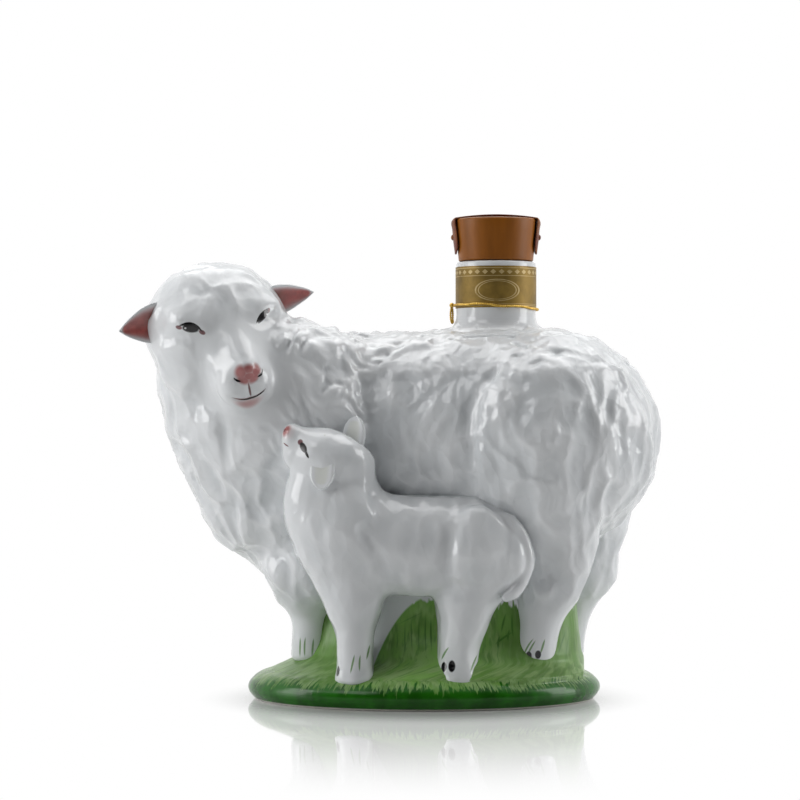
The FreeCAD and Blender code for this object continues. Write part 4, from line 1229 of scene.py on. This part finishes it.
def turf_surface(turf, ewe):
    """Rings up a profile, finely divided: ovals scaled over the plinth's rim, then turned ovals up the mound.

    The brush attributes are the ring's angle as a point on a circle and the distance up the profile, so that
    strokes run upwards.
    """
    stand = ewe_stand(ewe)
    length, depth = mm(turf.length), mm(turf.depth)
    angle = circle(TURF_COLUMNS)
    oval = np.stack((np.cos(angle) * length / 2, np.sin(angle) * depth / 2, 0 * angle), 1)
    swing = angle + ewe.turn
    near, far = (np.sign(t) * np.abs(t) ** (2 / MOUND_POWER) for t in (np.cos(swing), np.sin(swing)))
    to_rump = near[:, None] * stand.rows[0] * mm(turf.mound_length) / 2
    to_back = far[:, None] * stand.rows[1] * mm(turf.mound_depth) / 2
    low, high = mm(turf.rim), mm(ewe.back) - mm(ewe.girth) + MOUND_OVERLAP
    mound = [stand.place(*MOUND_PLACE, low + (high - low) * share) + to_rump * long + to_back * deep
             for share, long, deep in MOUND]
    reach = np.minimum(0.985 * np.hypot(mound[0][:, 0] / length, mound[0][:, 1] / depth) * 2, 0.955)
    plinth = [oval * np.maximum(share, reach * ramp(height, 8.2, 9.6))[:, None] + (0, 0, height)
              for share, height in RIM]
    rings = np.array(plinth + mound)
    fine = np.linspace(0, len(rings) - 1, TURF_DIVISIONS * len(rings))
    rings = hermite(fine, np.arange(len(rings)), rings.reshape(len(rings), -1)).reshape(len(fine), -1, 3)
    shape = rings.shape[:2]
    run = np.append(0, np.cumsum(np.linalg.norm(np.diff(rings, axis=0), axis=2).mean(1)))
    around = np.broadcast_to(BRUSH_RADIUS * np.stack((np.cos(angle), np.sin(angle)), 1), (*shape, 2))
    brush = np.concatenate((around, np.broadcast_to(run[:, None, None], (*shape, 1))), 2).reshape(-1, 3)
    blades = crease(clouds(brush / (2.6, 2.6, 9), 31)) + 0.6 * clouds(brush / (7, 7, 12), 32)
    ground = ramp(rings[..., 2].ravel(), 0.4, 3.0)
    out = rings - rings.mean(1, keepdims=True)
    out /= np.linalg.norm(out, axis=2, keepdims=True) + 1e-9
    push = (0.32 * blades * ground).reshape(*shape, 1)
    rings = rings + push * (0.45 * out + np.array((0, 0, 0.55)) * (rings[..., 2:] > 8))
    points, faces = closed_tube(rings)
    brush = np.concatenate((brush, np.zeros((2, 3))))
    return points, faces, tuple(zip(BRUSH, brush.T))


# Painted blades on the mound: place along the front, lean, foot and tip.
TURF_BLADES = (
    (-14.6, 1.2, 19.0, 30.5), (-12.0, 0.4, 18.0, 33.5), (-9.6, -0.2, 18.5, 35.0), (-7.0, 0.3, 17.5, 34.0),
    (-4.4, -0.2, 18.0, 36.0), (-2.0, 0.3, 18.5, 34.5), (0.4, 0.2, 18.0, 36.0), (2.6, -0.2, 19.0, 34.0),
    (-16.6, 19.8, 25.0, 35.2), (-33.5, -7.6, 22.5, 42.0), (-36.2, -2.9, 19.6, 39.3),
    (-38.0, -4.0, 24.0, 41.0), (24.6, 7.6, 22.0, 27.2), (26.2, 0.7, 20.6, 25.8), (29.8, 0.7, 23.4, 28.0),
    (27.4, 2.0, 26.0, 34.0), (31.8, -0.4, 24.0, 34.5), (47.4, 5.6, 17.0, 31.0),
    (50.4, 3.1, 15.0, 30.5), (54.2, 0.7, 13.6, 29.0), (57.2, -1.2, 10.6, 27.2),
)
# Roughness and stretch of the brushed noises: fine, hair, broad and tufts.
TURF_NOISES = ((0.55, (0.42, 0.42, 0.10)), (0.6, (1.1, 1.1, 0.16)), (0.5, (0.13, 0.13, 0.09)),
               (0.5, (0.2, 0.2, 0.14)))
FOOT_LINE = (0.62, 0.60, 0.55)


def turf_glaze(finish):
    """Brushed greens: dark on the rim, lighter turf with painted blades, painted shade on the mound's ends,
    and a pale foot line.

    White clay shows over a ragged edge and, on the front, over an arched one.
    """
    paint = Paint("turf_glaze", 0.3, {"Specular IOR Level": 0.3})
    inputs = {i: paint.attribute(name) for i, name in enumerate(BRUSH)}
    place = paint.node("ShaderNodeCombineXYZ", inputs).outputs[0]
    fine, hair, broad, tufts = (paint.noise(1.0, 2, rough, stretch, place) for rough, stretch in TURF_NOISES)
    height = paint.times(paint.axis(2), 1000.0)
    green = paint.mix(paint.ramp(broad, 0.36, 0.66), shade(finish.turf, 1.2), shade(finish.turf, 0.75))
    pale = paint.times(paint.ramp(fine, 0.40, 0.62), paint.ramp(broad, 0.40, 0.60))
    green = paint.mix(paint.times(pale, 0.7), green, finish.blade)
    # Painted shade: the mound's ends, which the side lamps light hardest, are painted a darker green.
    ends = paint.ramp(paint.math("ABSOLUTE", paint.axis(0)), 0.018, 0.034, 0.0, 0.6)
    green = paint.mix(ends, green, shade(finish.turf, 0.42))
    sage = paint.times(paint.ramp(tufts, 0.42, 0.60), paint.ramp(height, 19.0, 13.0, 0.0, 0.75))
    green = paint.mix(sage, green, shade(finish.blade, 0.75))
    strokes = paint.times(paint.ramp(hair, 0.53, 0.66), paint.ramp(height, 40.0, 12.0, 0.25, 0.6))
    green = paint.mix(strokes, green, blend(finish.rim, 0.5, finish.turf, 0.5))
    tints = {"blade": (blend(finish.rim, 0.8, finish.turf, 0.2), 0.85, 0.55)}
    rows = [("blade", (x, -30, low), (x + lean, -30, high), 0.5, 0.3, (0, -1, 0))
            for x, lean, low, high in TURF_BLADES]
    green = paint.marks(green, tints, Stand((0, 0, 0), np.eye(3)), rows, 9.0)
    edge = paint.math("MULTIPLY_ADD", hair, 12.0, paint.math("MULTIPLY_ADD", broad, 4.0, height))
    dark = paint.mix(paint.ramp(broad, 0.35, 0.65), shade(finish.rim, 1.35), shade(finish.rim, 0.75))
    green = paint.mix(paint.ramp(edge, 17.2, 15.2), green, dark)
    paint.set(paint.shader.inputs["Roughness"], paint.ramp(height, 8.0, 14.0, 0.2, 0.34))
    far = paint.ramp(paint.axis(1), 0.002, 0.014, 0.0, 12.0)
    clay = paint.math("SUBTRACT", paint.math("MULTIPLY_ADD", fine, -14.0, height), far)
    across = paint.math("MULTIPLY_ADD", paint.axis(0), 1000.0, -2.0)
    arch = paint.math("ADD", height, paint.times(paint.times(across, across), 0.058))
    bare = paint.ramp(arch, 38.2, 39.4)
    for share in (paint.ramp(across, 6.0, 4.0), paint.ramp(across, -27.0, -24.0),
                  paint.ramp(paint.axis(1), 0.0, -0.004), paint.ramp(height, 12.0, 15.0)):
        bare = paint.times(bare, share)
    colour = paint.mix(paint.highest((paint.ramp(clay, 29.5, 31.0), bare)), green, finish.white)
    colour = paint.mix(paint.ramp(height, 0.9, 0.4), colour, FOOT_LINE)
    return paint.finish(colour, fine, 0.12)


# Neck and stopper

def lathe(profile, axis, columns=120, closed=False):
    """A profile of (radius, height) rows in straight runs, carried round an axis; closed joins its ends."""
    profile = np.array(profile, float)
    knots = run_along(profile)
    fine = np.unique(np.concatenate([np.linspace(a, b, 5) for a, b in zip(knots[:-1], knots[1:])]))
    radius, height = np.stack([np.interp(fine, knots, column) for column in profile.T])
    angle = circle(columns)
    rings = np.stack((axis[0] + radius[:, None] * np.cos(angle), axis[1] + radius[:, None] * np.sin(angle),
                      np.broadcast_to(height[:, None], (len(fine), columns))), 2)
    return ring_tube(rings[:-1]) if closed else closed_tube(rings)


def arc(centre, radius, start, end, count=7):
    """Rows on a rounded corner, by angle from the outward level direction."""
    turn = np.radians(np.linspace(start, end, count))
    return [(centre[0] + radius * math.cos(t), centre[1] + radius * math.sin(t)) for t in turn]


# Neck: how deep its foot sits in the back, and the radius and the height of the flare.
NECK_SINK = 11.0
NECK_FLARE = 8.0
FLARE_HEIGHT = 16.5
# Band: its drop from the lip, half the gap at its seam, its thickness and the section of its edge.
BAND_DROP = 2.0
BAND_SEAM = 3.0
FOIL = 0.25
FOIL_EDGE = [(0.02, 0.0), (0.21, 0.0), (FOIL, 0.09)]
LOZENGE_PITCH = 3.0
OVAL_HALVES = (8.2, 3.9)
OVAL_HEIGHT = 6.3
PRINT_GOLD = (0.50, 0.38, 0.18)
# Waves in the cord: their height and their place round the neck, as an angle backwards.
CORD_WAVES = ((0.55, 1.95), (0.35, 1.0))
CORD_TAIL = 6.0
CORD_GOLDS = ((0.72, 0.47, 0.09), (0.50, 0.29, 0.04))
CAP_SEAT = 0.3
CORK_PLAY = 0.06
CORK_BROWNS = ((0.50, 0.30, 0.15), (0.34, 0.19, 0.085))
CORK_PORES = (0.10, 0.05, 0.025)
STRAP_BROWNS = ((0.14, 0.034, 0.014), (0.30, 0.12, 0.04))


class DECANTER_OT_neck(Operator):
    """Turn the bottle's neck"""
    bl_idname = "decanter.neck"
    bl_label = "Bottle neck"

    def execute(self, context):
        neck = settings().neck
        radius, bore, top = mm(neck.radius), mm(neck.bore), mm(neck.top)
        low = mm(settings().ewe.back) - NECK_SINK
        flare = arc((radius + NECK_FLARE, low + FLARE_HEIGHT), NECK_FLARE, 270, 180, 12)
        lip = arc((radius - 1, top - 1), 1.0, 0, 90) + arc((bore + 0.8, top - 0.8), 0.8, 90, 180)
        profile = [(bore, low), (radius + NECK_FLARE, low)] + flare + lip + [(bore, low)]
        points, faces = lathe(profile, mm(neck.axis), closed=True)
        mesh_piece("bottle_neck", points, faces, "decanter", ("bottle_neck",),
                   neck_glaze(settings().finish))
        return {"FINISHED"}


def neck_glaze(finish):
    """White glaze, faintly clouded."""
    paint = Paint("neck_glaze", 0.12)
    colour = paint.mottle(paint.noise(40), finish.white, shade(finish.white, 0.95))
    return paint.finish(colour, paint.noise(220), 0.05)


class DECANTER_OT_label(Operator):
    """Wrap the foil band round the neck"""
    bl_idname = "decanter.label"
    bl_label = "Neck band"

    def execute(self, context):
        neck = settings().neck
        radius, tall = mm(neck.radius), mm(neck.band)
        half = math.pi - BAND_SEAM / radius
        turn = np.linspace(-half, half, 180)[:, None]
        section = np.array(FOIL_EDGE + [(FOIL, tall * i / 24) for i in range(1, 24)]
                           + [(out, tall - rise) for out, rise in FOIL_EDGE[::-1]])
        reach, rise = radius + section[None, :, 0], section[None, :, 1]
        x, y = mm(neck.axis)
        foot = mm(neck.top) - BAND_DROP - tall
        rings = np.stack((x + reach * np.sin(turn), y - reach * np.cos(turn), foot + rise + 0 * turn), 2)
        points, faces = closed_tube(rings[:, ::-1])
        across = np.append((radius * turn + 0 * reach).ravel(), (-radius * half, radius * half))
        up = np.append((0 * turn + rise[:, ::-1]).ravel(), (0, 0))
        mesh_piece("neck_label", points, faces, "decanter", ("neck_label",),
                   label_foil(tall, settings().finish), (("across", across), ("up", up)))
        return {"FINISHED"}


def label_foil(tall, finish):
    """Bronze foil with pale border lines, a row of lozenges and a plain oval in front."""
    paint = Paint("label_foil", 0.48, {"Metallic": 0.3, "Specular IOR Level": 0.25})
    across, up = paint.attribute("across"), paint.attribute("up")
    ground = paint.mottle(paint.noise(120, 3, 0.6), finish.gold, shade(finish.gold, 0.62))

    def offset(value, place):
        return paint.math("ABSOLUTE", paint.math("SUBTRACT", value, place))

    def line(value, place, half):
        return paint.ramp(offset(value, place), half, 0.6 * half)

    def square(value, half):
        return paint.math("POWER", paint.math("DIVIDE", value, half), 2.0)

    borders = ((0.8, 0.16), (1.35, 0.1), (tall - 0.7, 0.16), (tall - 3.6, 0.12))
    masks = [line(up, place, half) for place, half in borders]
    cell = paint.math("FRACT", paint.math("DIVIDE", across, LOZENGE_PITCH))
    lozenge = paint.math("ADD", paint.times(offset(cell, 0.5), 2.6),
                         paint.math("DIVIDE", offset(up, tall - 2.15), 0.95))
    masks.append(paint.ramp(lozenge, 1.0, 0.85))
    oval = paint.math("ADD", square(across, OVAL_HALVES[0]),
                      square(paint.math("SUBTRACT", up, OVAL_HEIGHT), OVAL_HALVES[1]))
    oval = paint.math("SQRT", oval)
    masks += [line(oval, 1.0, 0.045), line(oval, 0.86, 0.03)]
    printed = paint.highest(masks)
    worn = paint.ramp(paint.noise(300), 0.25, 0.45)
    return paint.finish(paint.mix(paint.times(printed, worn), ground, PRINT_GOLD), printed, 0.25, 0.0001)


class DECANTER_OT_cord(Operator):
    """Tie the gold cord round the foot of the band"""
    bl_idname = "decanter.cord"
    bl_label = "Gold cord"

    def execute(self, context):
        neck = settings().neck
        axis, thick = mm(neck.axis), mm(neck.cord)
        radius = mm(neck.radius) + FOIL + thick
        low = mm(neck.top) - BAND_DROP - mm(neck.band) + thick
        turn = circle(640)
        wave = sum(height * np.exp(-((np.cos(turn + at) - 1) / 0.05) ** 2) for height, at in CORD_WAVES)
        path = np.stack((axis[0] + radius * np.cos(turn), axis[1] + radius * np.sin(turn),
                         low - 0.8 * np.cos(turn) + wave), 1)
        loop = ring_tube(twisted(path, thick, twists=58, closed=True))
        knot = np.array((axis[0] - radius - 0.9, axis[1], low + 0.8))
        drop = np.linspace(0, 1, 40)[:, None]
        tails = []
        for bow, side in ((-0.5, -1), (0.35, 1)):
            path = knot + np.concatenate((bow * np.sin(2.6 * drop), 0.5 * side * drop, -CORD_TAIL * drop), 1)
            tails.append(closed_tube(twisted(path, 0.36, twists=4, closed=False)))
        bead, net = lathe(arc((0.0, 0.0), 0.95, -88, 88, 15), (0, 0), 24)
        knots = [(bead * (0.95, 1.1, 1.0) + knot, net),
                 (bead * (0.7, 0.8, 1.0) + knot + (0.15, 0, -CORD_TAIL), net)]
        points, faces = joined(loop, *tails, *knots)
        paint = Paint("gold_cord", 0.34, {"Metallic": 0.6})
        colour = paint.mottle(paint.noise(900), *CORD_GOLDS)
        mesh_piece("neck_cord", points, faces, "decanter", ("neck_cord",),
                   paint.finish(colour, paint.noise(1500), 0.2))
        return {"FINISHED"}


def twisted(path, radius, twists, closed):
    """Rings of a two-ply cord along a path: radius r (1 + 0.16 cos 2(a - twist)), square to the path."""
    step = np.roll(path, -1, 0) - np.roll(path, 1, 0) if closed else np.gradient(path, axis=0)
    step /= np.linalg.norm(step, axis=1, keepdims=True)
    guide = np.array((0.0, 0.0, 1.0)) if closed else np.array((0.0, 1.0, 0.0))
    side = np.cross(step, guide)
    side /= np.linalg.norm(side, axis=1, keepdims=True)
    over = np.cross(side, step)
    angle = circle(14)[None, :]
    lay = np.linspace(0, 2 * math.pi * twists, len(path), endpoint=not closed)[:, None]
    reach = (radius * (1 + 0.16 * np.cos(2 * (angle - lay))))[..., None]
    c, s = np.cos(angle)[..., None], np.sin(angle)[..., None]
    return path[:, None] + reach * (c * side[:, None] + s * over[:, None])


def joined(*surfaces):
    """Several surfaces as one list of points and faces."""
    points, faces, count = [], [], 0
    for place, net in surfaces:
        points.append(place)
        net = net.tolist() if isinstance(net, np.ndarray) else net
        faces += [[count + i for i in face] for face in net]
        count += len(place)
    return np.concatenate(points), faces


class DECANTER_OT_stopper(Operator):
    """Turn the stopper's cap and cork, and lay the seal strap over the cap"""
    bl_idname = "decanter.stopper"
    bl_label = "Stopper"

    def execute(self, context):
        stopper, neck, finish = settings().stopper, settings().neck, settings().finish
        axis, foot = mm(neck.axis), mm(neck.top) + CAP_SEAT
        low, wide = mm(stopper.foot_radius), mm(stopper.top_radius)
        head = foot + mm(stopper.height)
        profile = ([(0.01, foot)] + arc((low - 0.5, foot + 0.5), 0.5, 270, 360)
                   + arc((wide - 0.9, head - 0.9), 0.9, 3, 90) + [(0.01, head)])
        points, faces = lathe(profile, axis)
        mesh_piece("stopper_cap", points, faces, "stopper", ("stopper_cap",), cap_finish(finish))
        tip, fit = foot - mm(stopper.cork), mm(neck.bore) - CORK_PLAY
        profile = ([(0.01, tip)] + arc((fit - 1.3, tip + 0.8), 0.8, 270, 360)
                   + [(fit, foot - 0.02), (0.01, foot - 0.02)])
        points, faces = lathe(profile, axis)
        mesh_piece("stopper_cork", points, faces, "stopper", ("stopper_cork",), cork_finish())
        points, faces = strap_surface(axis, wide, head, mm(stopper.strap_width), mm(stopper.strap_drop))
        mesh_piece("seal_strap", points, faces, "stopper", ("seal_strap",), strap_finish())
        return {"FINISHED"}


def strap_surface(axis, reach, top, width, drop, corner=1.6, stand=1.0, half_thick=0.35):
    """A strap carried over the cap and bent round it: rounded off at both tips, with a stud on each side.

    corner is the radius of its bends and stand how far it stands off the cap's top edge.
    """
    rows = [(-reach - stand + fall * 0.09 + inward, top - fall)
            for fall, inward in ((drop, 0.2), (drop * 0.55, 0), (3.5, 0))]
    rows += arc((corner - reach - stand, top - corner + 0.1), corner, 180, 90, 6)
    rows += [(-x, z) for x, z in rows[::-1]]
    rows = np.array(rows)
    knots = run_along(rows)
    fine = np.linspace(0, knots[-1], 160)
    path = hermite(fine, knots, rows)
    step = np.gradient(path, axis=0)
    step /= np.linalg.norm(step, axis=1, keepdims=True)
    out, up = -step[:, 1:], step[:, :1]
    end = np.minimum(fine, knots[-1] - fine)
    half = width / 2 * np.sqrt(np.clip(1 - (1 - np.clip(end / 4.0, 0.003, 1)) ** 2, 0, 1))
    c, s = np.cos(circle(40)), np.sin(circle(40))
    across = half[:, None] * np.sign(c) * np.abs(c) ** 0.35
    thick = half_thick * np.sign(s) * np.abs(s) ** 0.5
    wrap = (reach - np.sqrt(reach ** 2 - across ** 2)) * out * np.abs(out)
    rings = np.stack((axis[0] + path[:, :1] + out * thick - wrap, axis[1] + across,
                      path[:, 1:] + up * thick), 2)
    stud, net = lathe(arc((0.0, 0.0), 1.0, 0, 88, 8), (0, 0), 24)
    dome = stud[:, [2, 1, 0]] * (0.8, 1.1, 1.1)
    studs = []
    for side in (-1, 1):
        place = (axis[0] + side * (reach + stand - 0.35), axis[1], top - drop * 0.52)
        studs.append((dome * (side, 1, 1) + place, [face[::side * -1] for face in net]))
    return joined(closed_tube(rings), *studs)


def cap_finish(finish):
    """Satin brown with a faint upright grain."""
    paint = Paint("cap_brown", 0.40, {"Specular IOR Level": 0.22})
    colour = paint.mottle(paint.noise(160, 3, 0.55, (1, 1, 0.12)), finish.cap, shade(finish.cap, 0.72))
    return paint.finish(colour, paint.noise(700), 0.06)


def cork_finish():
    """Cork: warm grains with dark pores."""
    paint = Paint("cork", 0.75)
    cells = paint.cells(700.0)
    grain = paint.mix(paint.ramp(cells, 0.1, 0.7), *CORK_BROWNS)
    pores = paint.ramp(paint.noise(380, 3, 0.6, (1, 1, 1.8)), 0.62, 0.7)
    return paint.finish(paint.mix(pores, grain, CORK_PORES), cells, 0.4)


def strap_finish():
    """Dark red-brown leather with a fine grain and lighter worn patches."""
    paint = Paint("strap_brown", 0.5, {"Specular IOR Level": 0.2})
    colour = paint.mix(paint.ramp(paint.noise(90, 3, 0.6), 0.45, 0.75), *STRAP_BROWNS)
    return paint.finish(colour, paint.cells(1600.0), 0.25, 0.0002)


# Stage

# Lamps: a name, a place, a size, the setting of their power and a share of it.
LAMPS = (
    ("top", (0.05, 0.30, 0.95), (1.2, 0.9), "key", 1.0),
    ("left", (-0.85, -0.19, 0.35), (0.4, 0.66), "side", 1.0),
    ("right", (0.85, -0.06, 0.35), (0.4, 0.66), "side", 1.02),
    ("front", (-0.70, -0.75, 1.0), (0.5, 0.5), "front", 1.0),
)
LAMP_AIM = (0, 0, 0.08)
FLOOR_CORNERS = ((-6, -6, 0), (6, -6, 0), (6, 6, 0), (-6, 6, 0))
SENSOR = 36.0


class DECANTER_OT_stage(Operator):
    """Set up the floor, the soft light and the camera"""
    bl_idname = "decanter.stage"
    bl_label = "Stage"

    def execute(self, context):
        stage, scene = settings().stage, context.scene
        floor = bpy.data.meshes.new("floor")
        floor.from_pydata(FLOOR_CORNERS, [], [(0, 1, 2, 3)])
        floor.materials.append(floor_white())
        piece = bpy.data.objects.new("floor", floor)
        scene.collection.objects.link(piece)

        for name, place, size, power, share in LAMPS:
            lamp = bpy.data.lights.new(name, "AREA")
            lamp.shape = "RECTANGLE"
            lamp.size, lamp.size_y = size
            lamp.energy = share * getattr(stage, power)
            holder = bpy.data.objects.new(name, lamp)
            holder.location = place
            aim = Vector(LAMP_AIM) - Vector(place)
            holder.rotation_euler = aim.to_track_quat("-Z", "Y").to_euler()
            scene.collection.objects.link(holder)

        world = bpy.data.worlds.new("studio")
        scene.world = world
        world.use_nodes = True
        room = Nodes(world.node_tree)
        sight = room.node("ShaderNodeTexCoord").outputs["Generated"]
        lit = room.ramp(room.node("ShaderNodeSeparateXYZ", {0: sight}).outputs[1], -0.7, -0.1)
        mirrored_rays, camera_rays = room.seen_rays()
        strength = room.highest((camera_rays, room.times(mirrored_rays, lit), room.times(lit, stage.fill)))
        background = room.tree.nodes["Background"].inputs
        room.set(background["Strength"], strength)
        room.set(background["Color"], (1, 1, 1))

        lens = bpy.data.cameras.new("camera")
        lens.lens, lens.sensor_width = stage.camera_lens, SENSOR
        camera = bpy.data.objects.new("camera", lens)
        camera.location = stage.camera_place
        camera.rotation_euler = (math.pi / 2, 0, 0)
        scene.collection.objects.link(camera)
        scene.camera = camera
        scene.view_settings.view_transform = "Standard"
        return {"FINISHED"}


def floor_white():
    """Glossy white board that keeps the shadow near the plinth and runs out to plain white further off."""
    paint = Paint("floor_white", 0.04)
    radius = paint.length(paint.coordinates)
    mirrored_rays, camera_rays = paint.seen_rays()
    shown = paint.highest((camera_rays, paint.times(mirrored_rays, paint.ramp(paint.axis(1), -0.5, -0.12))))
    glow = paint.node("ShaderNodeEmission", {"Color": (1, 1, 1), "Strength": 1.0}).outputs[0]
    board = paint.node("ShaderNodeBsdfDiffuse", {"Color": (0.66, 0.66, 0.66)}).outputs[0]
    lit = paint.times(paint.ramp(radius, 0.05, 0.085), shown)
    board = paint.node("ShaderNodeMixShader", {0: lit, 1: board, 2: glow}).outputs[0]
    gloss = paint.node("ShaderNodeBsdfGlossy", {"Color": (1, 1, 1), "Roughness": 0.04}).outputs[0]
    fresnel = paint.node("ShaderNodeFresnel", {"IOR": 1.45}).outputs[0]
    share = paint.times(fresnel, paint.ramp(radius, 0.25, 0.09))
    surface = paint.node("ShaderNodeMixShader", {0: share, 1: board, 2: gloss}).outputs[0]
    paint.set(paint.tree.nodes["Material Output"].inputs[0], surface)
    paint.tree.nodes.remove(paint.shader)
    return paint.material


class DECANTER_PT_panel(Panel):
    """Pieces of the decanter"""
    bl_idname = "DECANTER_PT_panel"
    bl_label = "Decanter"
    bl_space_type = "VIEW_3D"
    bl_region_type = "UI"
    bl_category = "Decanter"

    def draw(self, context):
        for step in STEPS:
            self.layout.operator(step.bl_idname)


STEPS = (DECANTER_OT_stage, DECANTER_OT_ewe, DECANTER_OT_ewe_ears, DECANTER_OT_lamb, DECANTER_OT_lamb_ears,
         DECANTER_OT_turf, DECANTER_OT_neck, DECANTER_OT_label, DECANTER_OT_cord, DECANTER_OT_stopper)
CLASSES = (EweSettings, LambSettings, TurfSettings, NeckSettings, StopperSettings, FinishSettings,
           StageSettings, DecanterSettings, *STEPS, DECANTER_PT_panel)


def register():
    for each in CLASSES:
        bpy.utils.register_class(each)
    bpy.types.Scene.decanter = PointerProperty(type=DecanterSettings)


def unregister():
    del bpy.types.Scene.decanter
    for each in reversed(CLASSES):
        bpy.utils.unregister_class(each)


def main():
    register()
    for step in STEPS:
        group, name = step.bl_idname.split(".")
        getattr(getattr(bpy.ops, group), name)()


if __name__ == "__main__":
    main()
